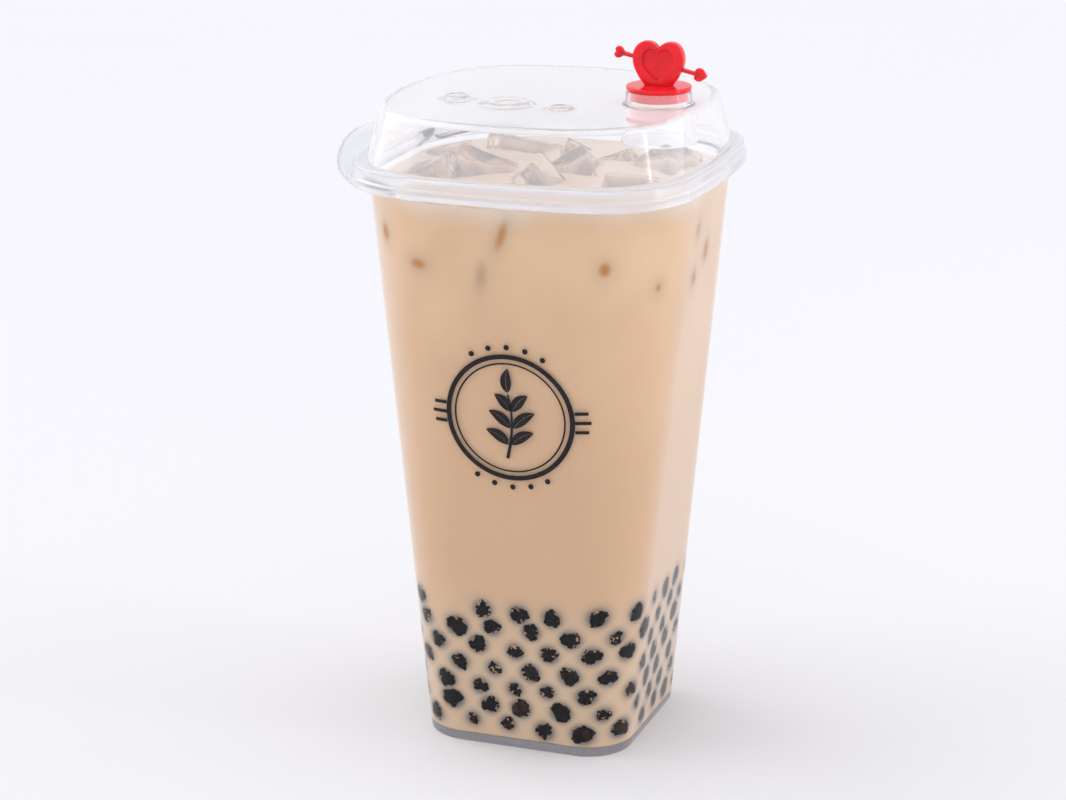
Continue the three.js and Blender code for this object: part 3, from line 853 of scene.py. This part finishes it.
class BUBBLETEA_OT_stopper(bpy.types.Operator):
    """Build the red stopper: a plug and disk with a heart on it and an arrow through it"""
    bl_idname = "bubble_tea.stopper"
    bl_label = "Stopper"

    def execute(self, context):
        stopper = settings().stopper
        thick, rise = stopper.heart_thickness / MM, stopper.heart_rise / MM
        half, disk = stopper.heart_half / MM, stopper.disk_thickness / MM
        heart = heart_outline(half, 3.25, -disk / 2, rise)
        inner = heart_outline(half * 0.62, 0.2, 1.4, rise - 2.0)
        parts = [pillow(heart, inner, plate_layers(thick, 0.6, 0.85))]
        slope = math.radians(stopper.arrow_slope)
        turn = np.array([[math.cos(slope), -math.sin(slope)], [math.sin(slope), math.cos(slope)]])

        def sloped(flat):
            """Turns and moves an outline of the arrow into the heart's plane."""
            return flat @ turn.T + [0.6, 5.6]

        shafts = []
        for start, end in ((-11.6, -4.2), (4.2, 11.0)):
            box = np.array([[start, -0.5], [end, -0.5], [end, 0.5], [start, 0.5]])
            sides = [np.linspace(box[i], box[(i + 1) % 4], 8)[:-1] for i in range(4)]
            shafts.append(np.vstack(sides))
        tail = heart_outline(1.55, 0.35, 0.0, 2.7, 10) @ [[0, 1], [-1, 0]] + [-10.2, 0]
        head = heart_outline(1.75, 0.05, 0.0, 3.4, 10) @ [[0, -1], [1, 0]] * [-1, 1] + [12.8, 0]
        for flat in (*shafts, tail, head):
            around = sloped(flat)
            parts.append(pillow(around, mix(around, around.mean(0), 0.7), plate_layers(1.5, 0.4)))
        parts = [(points + [SPOUT_X, 0, DISK_BOTTOM + disk], faces) for points, faces in parts]
        radius, plug, hollow = stopper.disk_radius / MM, 7.70, 6.5
        foot, disk_top = DISK_BOTTOM - stopper.plug_depth / MM, DISK_BOTTOM + disk
        profile = rounded([
            [0, DISK_BOTTOM - 0.4], [hollow, DISK_BOTTOM - 0.4], [hollow, foot], [plug, foot],
            [plug, DISK_BOTTOM], [radius, DISK_BOTTOM], [radius, disk_top], [0, disk_top],
        ], [0, 0.6, 0.3, 0.3, 0.2, 0.25, 0.35, 0])
        angles = np.arange(96) / 96 * 2 * np.pi
        x = SPOUT_X + profile[:, :1] * np.cos(angles)
        y = profile[:, :1] * np.sin(angles)
        z = np.broadcast_to(profile[:, 1:2], x.shape)
        parts.append(shell(np.stack([x, y, z], -1), True, True))
        piece = make_object("heart_stopper", *joined(parts), sharp=50)
        set_up(piece, [stopper_material(stopper.red)], "stopper", "stopper")
        return {"FINISHED"}


# Ice: highest corner x, y, z; sides; then turns about X, Y and Z in degrees
ICE_BLOCKS = [
    [(-23.0, -4.5, 161.4), (16, 13, 15), (-33, 24, 28)],
    [(-0.7, -6.4, 160.5), (14, 15, 14), (15, 45, 10)],
    [(6.2, 6.3, 160.5), (15, 15, 14), (30, 30, -165)],
    [(27.2, 17.5, 160.8), (14, 13, 13), (30, 30, 165)],
    [(-25.0, -8.5, 159.6), (15, 15, 13), (10, -20, -20)],
    [(-28.0, 28.0, 157.0), (17, 12, 13), (-12, 4, -10)],
    [(-6.0, 31.0, 156.8), (12, 12, 12), (25, 28, 20)],
    [(17.0, -3.5, 156.0), (14, 14, 11), (8, 6, 15)],
    [(13.0, 27.5, 156.0), (11, 10, 11), (20, -15, 40)],
    [(-31.0, 19.0, 156.8), (13, 11, 12), (10, -14, 12)],
]


def ice_frame(block, growth):
    """Middle, half sides and turned axes of a block, from the place of its highest corner."""
    top, size, turn = block
    (ca, cb, cc), (sa, sb, sc) = np.cos(np.radians(turn)), np.sin(np.radians(turn))
    about_x = np.array([[1, 0, 0], [0, ca, -sa], [0, sa, ca]])
    about_y = np.array([[cb, 0, sb], [0, 1, 0], [-sb, 0, cb]])
    about_z = np.array([[cc, -sc, 0], [sc, cc, 0], [0, 0, 1]])
    axes = about_z @ about_y @ about_x
    half = np.array(size) / 2
    signs = np.array(np.meshgrid([-1, 1], [-1, 1], [-1, 1])).reshape(3, -1).T
    corners = (signs * (half - 0.5)) @ axes.T
    highest = corners[np.argmax(corners[:, 2])]
    return np.array(top) - highest, half * growth, axes


def ice_radius(directions, half, ice, seed):
    """Distance from a block's middle to its surface: a rounded box, where the sum of the
    three coordinates over the half sides, each to the power of the squareness, is one. The
    faces are hollowed by products of one minus the squares of the coordinates along them,
    and a few slow waves are added for melting."""
    power = ice.squareness
    scaled = directions / half
    base = (np.abs(scaled) ** power).sum(-1) ** (-1 / power)
    left = 1 - np.clip((scaled * base[..., None]) ** 2, 0, 1)
    dent = left[..., 0] * left[..., 1] + left[..., 1] * left[..., 2] + left[..., 2] * left[..., 0]
    base = base * (1 - ice.hollow * dent)
    wave = (
        np.sin(3.1 * directions[..., 0] + 1.7 * seed) * np.cos(2.7 * directions[..., 1] - seed)
        + 0.6 * np.sin(5.3 * directions[..., 2] + 2.9 * seed + 2 * directions[..., 0])
        + 0.35 * np.sin(9 * directions[..., 1] + seed) * np.cos(8 * directions[..., 2] + seed)
    )
    return base * (1 + ice.melt * wave)


def box_directions(half, steps):
    """Directions from a box's middle to even grids on its six sides, and their faces. The
    tangent of an even angle spaces the rows."""
    across = np.tan(np.linspace(-np.pi / 4, np.pi / 4, steps + 1))
    one, two = np.meshgrid(across, across, indexing="ij")
    i = np.arange(steps)[:, None] * (steps + 1) + np.arange(steps)[None, :]
    quads = np.stack([i, i + steps + 1, i + steps + 2, i + 1], -1).reshape(-1, 4)
    points, faces = [], []
    for axis in range(3):
        for sign in (1, -1):
            side = np.empty((*one.shape, 3))
            side[..., axis] = sign
            side[..., (axis + 1) % 3], side[..., (axis + 2) % 3] = one, two
            start = len(points) * one.size
            faces.extend((quads[:, ::sign] + start).tolist())
            points.append((side * half).reshape(-1, 3))
    points = np.vstack(points)
    return points / np.linalg.norm(points, axis=1, keepdims=True), faces


def held_inside(points, gap):
    """Points moved in towards the axis where they would pass the cup's inner wall."""
    limit = outline_radius(
        inset(cup_outline(np.clip(points[..., 2], 0, CUP_HEIGHT)), WALL + gap),
        np.arctan2(points[..., 1], points[..., 0]),
    )
    away = np.hypot(points[..., 0], points[..., 1])
    scale = np.minimum(1, limit / np.maximum(away, 1e-6))
    return points * np.stack([scale, scale, np.ones_like(scale)], -1)


class BUBBLETEA_OT_ice(bpy.types.Operator):
    """Build the ice: melting blocks that float at the top of the drink"""
    bl_idname = "bubble_tea.ice"
    bl_label = "Ice"

    def execute(self, context):
        ice = settings().ice
        clear = clear_material(
            "wet_ice", ice.tint, ice.clearness, 0.02, 1.33, (260.0, 0.5, 0.0016),
            (0.93, 0.9, 0.86), 0.9,
        )
        for number, block in enumerate(ICE_BLOCKS, 1):
            middle, half, axes = ice_frame(block, ice.growth)
            directions, faces = box_directions(half, 26)
            reach = ice_radius(directions, half, ice, number)
            points = middle + (directions * reach[..., None]) @ axes.T
            points = held_inside(points, 0.1)
            piece = make_object(f"ice_cube_{number}", points, faces, sharp=35)
            set_up(piece, [clear], "ice", f"ice_{number}")
        return {"FINISHED"}


PEARL_WAVES = [(2, 0.07), (3, 0.06), (5, 0.04), (9, 0.035), (16, 0.035)]  # turns, height
PEARL_DEEP = 0.55  # how far a pearl may reach into the wall
PEARL_LOW = 2.6    # lowest point of a pearl, inside the cup's floor
NEAR_RINGS = np.array([6, 18, 27, 33, 38, 43, 48, 54, 62, 82, 125, 168])  # degrees from the axis
FAR_RINGS = np.array([15, 40, 65, 90, 115, 140, 165])
NO_FACING = 99.0   # in place of the direction to the wall, for the pearls inside


def heap_height(x, y):
    """Top of the heap of pearls: a slope that rises to the back right, with lumps."""
    rise = 0.075 * (x * 0.6 + y + FOOT[0])
    return HEAP_FRONT + rise + 1.3 * np.sin(x * 0.58 + 0.7) * np.cos(y * 0.63 - 0.4)


def pearl_places():
    """Middles and radii of the pearls. Those at the wall stand in rows, each row shifted by
    half a step, at even steps along the outline. The others fill layers on a triangular
    grid. All are shaken a little by a seeded random draw."""
    pearls = settings().pearls
    radius, row, spacing = pearls.radius / MM, pearls.row / MM, pearls.spacing / MM
    draw = np.random.default_rng(41)
    fine = np.linspace(0, 2 * np.pi, 1441)
    places = []
    rows = int((HEAP_FRONT + 8) / row)
    for level in range(rows):
        z = FLOOR + 0.2 + radius + level * row
        outline = inset(cup_outline(z), WALL)
        edge = outline_radius(outline, fine)
        x, y = edge * np.cos(fine), edge * np.sin(fine)
        run = np.concatenate([[0], np.cumsum(np.hypot(np.diff(x), np.diff(y)))])
        count = round(run[-1] / spacing)
        wanted = (np.arange(count) + level / 2 + draw.uniform(-0.10, 0.10, count)) % count
        angle = np.interp(wanted / count * run[-1], run, fine)
        size = radius * (1 - pearls.spread * draw.random(count))
        heights = z + draw.uniform(-0.6, 0.6, count)
        depth = size * draw.uniform(0.58, 0.82, count)
        away = outline_radius(inset(cup_outline(heights), depth + WALL), angle)
        px, py = away * np.cos(angle), away * np.sin(angle)
        ahead = outline_radius(outline, angle + 0.01)
        behind = outline_radius(outline, angle - 0.01)
        facing = np.arctan2(
            -(ahead * np.cos(angle + 0.01) - behind * np.cos(angle - 0.01)),
            ahead * np.sin(angle + 0.01) - behind * np.sin(angle - 0.01),
        )
        keep = heights + size < heap_height(px, py) + 3.5
        heights = np.maximum(heights, 2.9 + size * 0.93)
        places.append(np.stack([px, py, heights, size, facing], -1)[keep])
    step, layer, shake = 8.6, 7, 0.8
    grid = np.arange(-4, 5) * step
    for level in range(int((HEAP_FRONT - 4) / layer)):
        z = FLOOR + radius * 0.93 + level * layer
        odd = level % 2
        gx, gy = np.meshgrid(grid, grid)
        gx = gx + odd * step / 2 + draw.uniform(-shake, shake, gx.shape)
        gy = gy + odd * 2.5 + draw.uniform(-shake, shake, gx.shape)
        room = outline_radius(inset(cup_outline(z), WALL + 12.2), np.arctan2(gy, gx))
        inside = np.hypot(gx, gy) < room
        size = radius * (1 - pearls.spread * draw.random(gx.shape))
        inner = np.stack([gx, gy, np.full_like(gx, z), size, np.full_like(gx, NO_FACING)], -1)
        places.append(inner[inside])
    return np.vstack(places)


def pearl_cluster(places, polar, count, draw):
    """Pearls as rings round an axis that points at the wall. The radius carries waves round
    that axis, so that the patch that touches the wall has a ragged edge. What would pass the
    wall is pressed flat into its inner face. How far it was pressed comes back too."""
    around = np.arange(count) / count * 2 * np.pi
    theta = np.radians(polar)[:, None]
    unit = np.stack([
        np.sin(theta) * np.cos(around), np.sin(theta) * np.sin(around),
        np.cos(theta) * np.ones_like(around),
    ], -1)
    points, faces = shell(unit, True, True)
    spin = np.arctan2(points[:, 1], points[:, 0])[None]
    away = np.sqrt(np.clip(1 - (points[:, 2] ** 2), 0, 1))[None]
    phase = draw.uniform(0, 2 * np.pi, (len(places), 6))
    lumps = np.ones((len(places), len(points)))
    for k, (turns, height) in enumerate(PEARL_WAVES):
        lumps += height * away * np.sin(turns * spin + phase[:, k:k + 1])
    local = points[None] * (places[:, 3:4] * lumps)[..., None]
    cos, sin = np.cos(places[:, 4:5]), np.sin(places[:, 4:5])
    turned = np.stack([
        cos * local[..., 2] - sin * local[..., 0], sin * local[..., 2] + cos * local[..., 0],
        local[..., 1],
    ], -1)
    free = places[:, None, :3] + turned
    balls = held_inside(free, -PEARL_DEEP)
    pressed = np.hypot(free[..., 0], free[..., 1]) - np.hypot(balls[..., 0], balls[..., 1])
    balls[..., 2] = np.maximum(balls[..., 2], PEARL_LOW)
    shifts = range(0, len(places) * len(points), len(points))
    listed = [[corner + shift for corner in face] for shift in shifts for face in faces]
    return balls.reshape(-1, 3), listed, pressed.reshape(-1)


class BUBBLETEA_OT_pearls(bpy.types.Operator):
    """Build the tapioca pearls, pressed flat where they touch the cup"""
    bl_idname = "bubble_tea.pearls"
    bl_label = "Pearls"

    def execute(self, context):
        pearls = settings().pearls
        places = pearl_places()
        draw = np.random.default_rng(7)
        at_wall = places[:, 4] != NO_FACING
        outer = pearl_cluster(places[at_wall], NEAR_RINGS, 44, draw)
        inner = pearl_cluster(places[~at_wall], FAR_RINGS, 12, draw)
        points, faces = joined([outer[:2], inner[:2]])
        pressed = np.concatenate([outer[2], inner[2] + 9.0])
        brown = (draw.random(len(places)) < 0.3) * draw.uniform(0.4, 1, len(places))
        low = places[:, 2] < 12
        brown = np.where(low, np.maximum(brown, draw.uniform(0.2, 0.9, len(places))), brown)
        each = np.where(at_wall, len(outer[0]) // at_wall.sum(), len(inner[0]) // (~at_wall).sum())
        order = np.concatenate([np.flatnonzero(at_wall), np.flatnonzero(~at_wall)])
        brown = np.repeat(brown[order], each[order])
        piece = make_object(
            "tapioca_pearls", points, faces, attributes={"brown": brown, "pressed": pressed},
        )
        finish = pearl_material(pearls, settings().drink.milk)
        set_up(piece, [finish], "pearls", "pearls")
        return {"FINISHED"}


ICE_MARKS = np.array([  # ice on the wall: x, y, z, half width, half height, strength, lean
    [-33.5, -34.8, 143.8, 2.0, 2.6, 0.75, 0.0], [2.2, -44.2, 147.0, 1.4, 4.8, 0.75, 0.33],
    [-22.0, -41.5, 137.8, 2.6, 1.4, 0.75, 0.0], [-3.7, -43.1, 136.0, 1.1, 4.0, 0.3, 0.15],
    [28.5, -38.2, 139.5, 1.8, 2.1, 0.95, 0.0], [38.9, -25.9, 132.8, 1.1, 1.4, 0.9, 0.0],
    [42.6, -7.6, 131.2, 1.8, 2.4, 0.8, 0.0], [43.2, 0.9, 136.8, 2.2, 3.2, 0.8, 0.0],
    [43.9, -8.0, 144.4, 1.4, 2.2, 0.7, 0.0], [-42.0, 12.0, 141.0, 2.2, 3.0, 0.7, 0.2],
    [-14.0, 43.0, 139.0, 2.4, 2.2, 0.7, -0.2], [22.0, 42.0, 144.0, 1.4, 3.6, 0.7, 0.3],
])


def drink_top(x, y, drink, ice):
    """Height of the drink's surface: level, with a creep at the wall and pits under the
    ice. Each hollow's floor is the lowest height at which the point is still inside the block."""
    level = drink.level / MM
    wall = outline_radius(inset(cup_outline(level), WALL), np.arctan2(y, x))
    gap = np.maximum(wall - np.hypot(x, y), 0)
    height = level + drink.creep / MM * np.exp(-gap / 1.1)
    height = height + 0.12 * np.sin(0.31 * x + 1.1) * np.sin(0.27 * y - 0.5)
    step = 0.35
    depths = np.arange(0.0, 17.0, step)
    columns = np.broadcast_arrays(x[..., None], y[..., None], level - depths)
    points = np.stack(columns, -1)
    for number, block in enumerate(ICE_BLOCKS, 1):
        middle, half, axes = ice_frame(block, ice.growth)
        local = (points - middle) @ axes
        away = np.linalg.norm(local, axis=-1)
        reach = ice_radius(local / np.maximum(away, 1e-6)[..., None], half, ice, number)
        within = away < reach - 0.25
        at_level = within[..., 0]
        run = np.cumprod(within, axis=-1).sum(-1)
        floor = level - np.maximum(run - 1, 0) * step
        height = np.where(at_level, np.minimum(height, floor), height)
    return height


class BUBBLETEA_OT_drink(bpy.types.Operator):
    """Build the milk tea: one surface from the floor up the wall and over the top"""
    bl_idname = "bubble_tea.drink"
    bl_label = "Milk tea"

    def execute(self, context):
        tea = settings()
        drink = tea.drink
        angles = ring_angles(tea.detail, 0.3)
        sink, low = WALL - drink.overlap / MM, FLOOR - drink.overlap / MM
        level = drink.level / MM + drink.creep / MM
        base = [
            [*inset(cup_outline(low), mix(27.0, sink + 1.2, s)), low]
            for s in np.linspace(0, 1, 26)
        ]
        heights = np.concatenate([  # close rows beside the pearls and the ice
            np.linspace(low + 1.2, 52, 82), np.linspace(52, 118, 16)[1:],
            np.linspace(118, level, 76)[1:],
        ])
        side = [[*inset(cup_outline(z), sink), z] for z in heights]
        bottom = to_profile(
            base + [[*inset(cup_outline(low), sink), low], side[0]],
            [0] * len(base) + [1.4, 0],
        )
        rows = np.vstack([[[*CENTRE, low]], bottom, side[1:]])
        wall = press(rows, angles)
        share = np.linspace(1, 0, 64)[1:, None, None]
        top = wall[-1][None] * share
        top[..., 2] = height = drink_top(top[..., 0], top[..., 1], drink, tea.ice)
        grid = np.concatenate([wall, top])
        points = grid.reshape(-1, 3)
        places = pearl_places()
        close = np.full(len(points), 20.0)
        below = points[:, 2] < 56
        seen = points[below]
        for part in np.array_split(places, 12):
            away = np.linalg.norm(seen[:, None] - part[None, :, :3], axis=2) - part[:, 3]
            close[below] = np.minimum(close[below], away.min(1))
        near = np.maximum(close, 0)
        shade = np.exp(-near / 0.7) * 0.75 + np.exp(-near / 3.0) * 0.09
        spin = np.arctan2(points[:, 1], points[:, 0])
        start = 149.0 + 1.3 * np.sin(5 * spin + 0.6) + 0.8 * np.sin(11 * spin + 2.1)
        brim = np.clip((points[:, 2] - start) / 5.5, 0, 1) ** 1.5 * 0.85
        gap = np.hypot(*wall[-1, :, :2].T)[None] - np.hypot(top[..., 0], top[..., 1])
        brim[-gap.size:] *= np.exp(-gap.reshape(-1) / 1.5)
        # Painted shade in the pits under the ice: the deeper the surface lies under the level, the
        # darker the tea, fully at 3 mm
        pit_shade = np.zeros(len(points))
        pit_shade[-height.size:] = np.clip((drink.level / MM - height) / 3.0, 0, 1).reshape(-1)
        amber, ice_mark_shade = np.zeros((2, len(points)))
        for x, y, z, wide, high, strength, lean in ICE_MARKS:
            rise = points[:, 2] - z
            flat = np.hypot(points[:, 0] - x - lean * rise, points[:, 1] - y) / wide
            away = flat**2 + (rise / high) ** 2
            amber = np.maximum(amber, min(1.0, 1.25 * strength) * np.exp(-(away**2.4)))
            # Painted shade: a soft grey halo round each ice mark, larger but fainter for stronger
            # marks, added to the pearl shade outside the amber core
            halo = 0.2 + 2.0 * strength
            away = (flat * wide / (wide + halo)) ** 2 + (rise / (high + halo)) ** 2
            ice_mark_shade = np.maximum(ice_mark_shade, (0.40 - 0.22 * strength) * np.exp(-(away**1.2)))
        shade = np.maximum(shade, ice_mark_shade * (1 - amber))
        points, faces = shell(grid, True, True)
        masks = {"pearl_and_ice_shade": shade, "amber": amber, "pit_shade": pit_shade, "brim": brim}
        values = {
            key: np.pad(mask, (0, len(points) - len(mask))) for key, mask in masks.items()
        }
        piece = make_object("milk_tea_body", points, faces, attributes=values)
        set_up(piece, [drink_material(drink)], "milk_tea", "milk_tea")
        return {"FINISHED"}


def on_front(across, up, lift):
    """Places a flat point on the cup's front: up is the height, and the angle is found by a
    few rounds of arcsine of across over the outline's radius there."""
    outline = cup_outline(up)
    angle = np.arctan(across / outline[..., 0])
    for _ in range(12):
        angle = np.arcsin(np.clip(across / outline_radius(outline, angle), -0.99, 0.99))
    radius = outline_radius(outline, angle) + lift
    return np.stack([radius * np.sin(angle), -radius * np.cos(angle), up], -1)


def printed(flat, closed):
    """A thin film on the cup's front from a grid of flat points, with both faces."""
    rows, count = flat.shape[:2]
    outer = on_front(flat[..., 0], flat[..., 1], 0.09)
    inner = on_front(flat[..., 0], flat[..., 1], 0.02)
    rings = np.concatenate([outer, inner[::-1]])
    if closed:
        return shell(rings, closed=True)
    faces = ring_faces(len(rings), count, True)
    grid = faces.reshape(len(rings), count, 4)[:, :-1].reshape(-1, 4).tolist()
    first = [r * count for r in range(len(rings))]
    last = [r * count + count - 1 for r in range(len(rings))]
    caps = []
    for ends in (first[::-1], last):
        for k in range(rows - 1):
            caps.append([ends[k], ends[k + 1], ends[-2 - k], ends[-1 - k]])
    return rings.reshape(-1, 3), grid + caps


def strip(middle, width, closed=False):
    """A flat band along a line of points, as wide as given at each point."""
    run = np.roll(middle, -1, 0) - np.roll(middle, 1, 0) if closed else np.gradient(middle, axis=0)
    run = run / np.linalg.norm(run, axis=1, keepdims=True)
    side = np.stack([-run[:, 1], run[:, 0]], -1)
    shares = np.linspace(-0.5, 0.5, 4)[:, None, None]
    return middle[None] + side[None] * np.asarray(width, float).reshape(1, -1, 1) * shares


class BUBBLETEA_OT_print(bpy.types.Operator):
    """Build the print on the front: a leafy sprig in a ring, with bars and dots beside it"""
    bl_idname = "bubble_tea.print"
    bl_label = "Print"

    def execute(self, context):
        ink = settings().print
        middle = np.array([ink.middle_x / MM, ink.middle_z / MM])
        ring = ink.ring / MM
        around = np.arange(96) / 96 * 2 * np.pi
        circle = np.stack([np.cos(around), np.sin(around)], -1)
        bands = []
        for size, width in ((ring, 1.3), (ring - 1.9, 0.45)):
            bands.append(printed(strip(circle * size, np.full(96, width), True) + middle, True))
        stem_share = np.linspace(0, 1, 40)
        stem = np.stack([1.6 * np.sin(stem_share * 2.6) - 1.0, mix(-11.5, 6.5, stem_share)], -1)
        bands.append(printed(strip(stem, mix(0.9, 0.45, stem_share)) + middle, False))
        leaf_share = np.linspace(0, 1, 30)
        body = np.sin(np.pi * leaf_share**0.85) ** 0.8
        leaves = [
            (0.22, 7.2, 32), (0.22, 7.0, 148), (0.48, 7.6, 38), (0.48, 7.2, 142),
            (0.74, 6.4, 48), (0.74, 6.0, 132), (1.0, 6.6, 88),
        ]
        for where, size, angle in leaves:
            root = stem[int(where * 39)]
            heading = np.radians(angle)
            along = np.array([math.cos(heading), math.sin(heading)])
            curve = np.array([-along[1], along[0]]) * (0.6 if angle < 90 else -0.6)
            line = root + along * (0.6 + leaf_share[:, None] * size)
            line = line + curve * np.sin(np.pi * leaf_share)[:, None]
            side = strip(line, 0.06 + 1.35 * body)
            for half in (-0.56, 0.56):
                moved = side + (side[3] - side[0]) * half
                bands.append(printed(moved + middle, False))
        bar_share = np.linspace(-0.5, 0.5, 24)
        for side in (-1, 1):
            for up, long in ((2.6, 3.4), (-2.6, 3.4), (0.0, 4.6)):
                across = side * (ring + 2.3 + bar_share * long)
                bar = np.stack([across, np.full(24, up)], -1)
                bands.append(printed(strip(bar, np.full(24, 0.9)) + middle, False))
        for angle in np.radians([60, 75, 90, 105, 120, 240, 255, 270, 285, 300]):
            spot = np.array([math.cos(angle), math.sin(angle)]) * (ring + 2.6)
            dot = np.linspace(0.75, 0.02, 4)[:, None, None] * circle[None, ::4] + spot
            bands.append(printed(dot + middle, True))
        piece = make_object("sprig_print", *joined(bands), sharp=40)
        set_up(piece, [ink_material(ink.ink)], "cup")
        return {"FINISHED"}


CUP_MIDDLE = np.array([0, 0, 0.09])
CAMERA_PLACE = (0.26553, -0.72539, 0.32907)
CAMERA_FORWARD = np.array([-0.3345, 0.8953, -0.2942])
CAMERA_RIGHT = np.array([0.9373, 0.3485, -0.0049])


class BUBBLETEA_OT_stage(bpy.types.Operator):
    """Build the pale floor, the soft lights and the camera"""
    bl_idname = "bubble_tea.stage"
    bl_label = "Stage"

    def execute(self, context):
        stage = settings().stage
        half, count = 4.0, 9
        x, y = np.meshgrid(*2 * [np.linspace(-1, 1, count) * half])
        points = np.stack([x, y, np.zeros_like(x)], -1).reshape(-1, 3)
        i = (np.arange(count - 1)[:, None] * count + np.arange(count - 1)).reshape(-1)
        faces = np.stack([i, i + 1, i + count + 1, i + count], -1)
        mesh = bpy.data.meshes.new("floor_board")
        mesh.from_pydata(points.tolist(), [], faces.tolist())
        floor = bpy.data.objects.new("floor_board", mesh)
        context.scene.collection.objects.link(floor)
        mesh.materials.append(floor_material(stage.floor))

        world = bpy.data.worlds.new("studio")
        world.use_nodes = True
        back = world.node_tree.nodes["Background"]
        back.inputs["Color"].default_value = (*stage.sky, 1.0)
        back.inputs["Strength"].default_value = stage.sky_strength
        context.scene.world = world
        context.scene.view_settings.view_transform = "Standard"

        def placed(name, data, place, side, away):
            """Puts a light or camera at a place, looking along minus away."""
            thing = bpy.data.objects.new(name, data)
            turn = np.eye(4)
            turn[:3, 0], turn[:3, 1], turn[:3, 2] = side, np.cross(away, side), away
            turn[:3, 3] = place
            thing.matrix_world = Matrix(turn.tolist())
            context.scene.collection.objects.link(thing)
            return thing

        def aimed(name, kind, place, strength, wide, tall=0.0):
            """A light at a place, or from a direction for a sun, that looks at the cup."""
            light = bpy.data.lights.new(name, kind)
            light.energy = strength
            if kind == "SUN":
                light.angle = math.radians(wide)
            else:
                light.shape = "RECTANGLE"
                light.size, light.size_y = wide, tall
            away = np.array(place) - CUP_MIDDLE
            away /= np.linalg.norm(away)
            side = np.cross([0, 0, 1.0], away)
            placed(name, light, place, side / np.linalg.norm(side), away)

        aimed("key", "SUN", (-1.6, -0.1, 1.0), stage.key, 70)
        aimed("fill", "SUN", (1.6, 0.7, 0.4), stage.fill, 60)
        aimed("strip", "AREA", (0.85, 0.01, 0.32), stage.strip, 0.05, 0.7)

        camera = bpy.data.cameras.new("camera")
        camera.sensor_fit = "HORIZONTAL"
        camera.sensor_width = 36.0
        camera.lens = stage.lens
        camera.clip_start, camera.clip_end = 0.01, 50.0
        forward = CAMERA_FORWARD / np.linalg.norm(CAMERA_FORWARD)
        right = CAMERA_RIGHT - forward * CAMERA_RIGHT.dot(forward)
        right /= np.linalg.norm(right)
        context.scene.camera = placed("camera", camera, CAMERA_PLACE, right, -forward)
        return {"FINISHED"}


class BUBBLETEA_PT_panel(bpy.types.Panel):
    """The bubble tea's settings and steps"""
    bl_label = "Bubble tea"
    bl_idname = "BUBBLETEA_PT_panel"
    bl_space_type = "VIEW_3D"
    bl_region_type = "UI"
    bl_category = "Bubble tea"

    def draw(self, context):
        tea = context.scene.bubble_tea
        for step in STEPS:
            name = step.bl_idname.split(".")[1]
            box = self.layout.box()
            box.operator(step.bl_idname)
            group = getattr(tea, name)
            for key in group.__annotations__:
                box.prop(group, key)


GROUPS = (
    CupSettings, LidSettings, StopperSettings, DrinkSettings, PearlSettings, IceSettings,
    PrintSettings, StageSettings, BubbleTeaSettings,
)
STEPS = (
    BUBBLETEA_OT_stage, BUBBLETEA_OT_cup, BUBBLETEA_OT_drink, BUBBLETEA_OT_pearls,
    BUBBLETEA_OT_ice, BUBBLETEA_OT_lid, BUBBLETEA_OT_stopper, BUBBLETEA_OT_print,
)


def register():
    """Registers the settings, the steps and the panel."""
    for known in (*GROUPS, *STEPS, BUBBLETEA_PT_panel):
        bpy.utils.register_class(known)
    bpy.types.Scene.bubble_tea = PointerProperty(type=BubbleTeaSettings)


def unregister():
    """Takes them away again."""
    del bpy.types.Scene.bubble_tea
    for known in reversed((*GROUPS, *STEPS, BUBBLETEA_PT_panel)):
        bpy.utils.unregister_class(known)


def main():
    """Builds everything in order."""
    register()
    for step in STEPS:
        name = step.bl_idname.split(".")[1]
        getattr(bpy.ops.bubble_tea, name)()


if __name__ == "__main__":
    main()
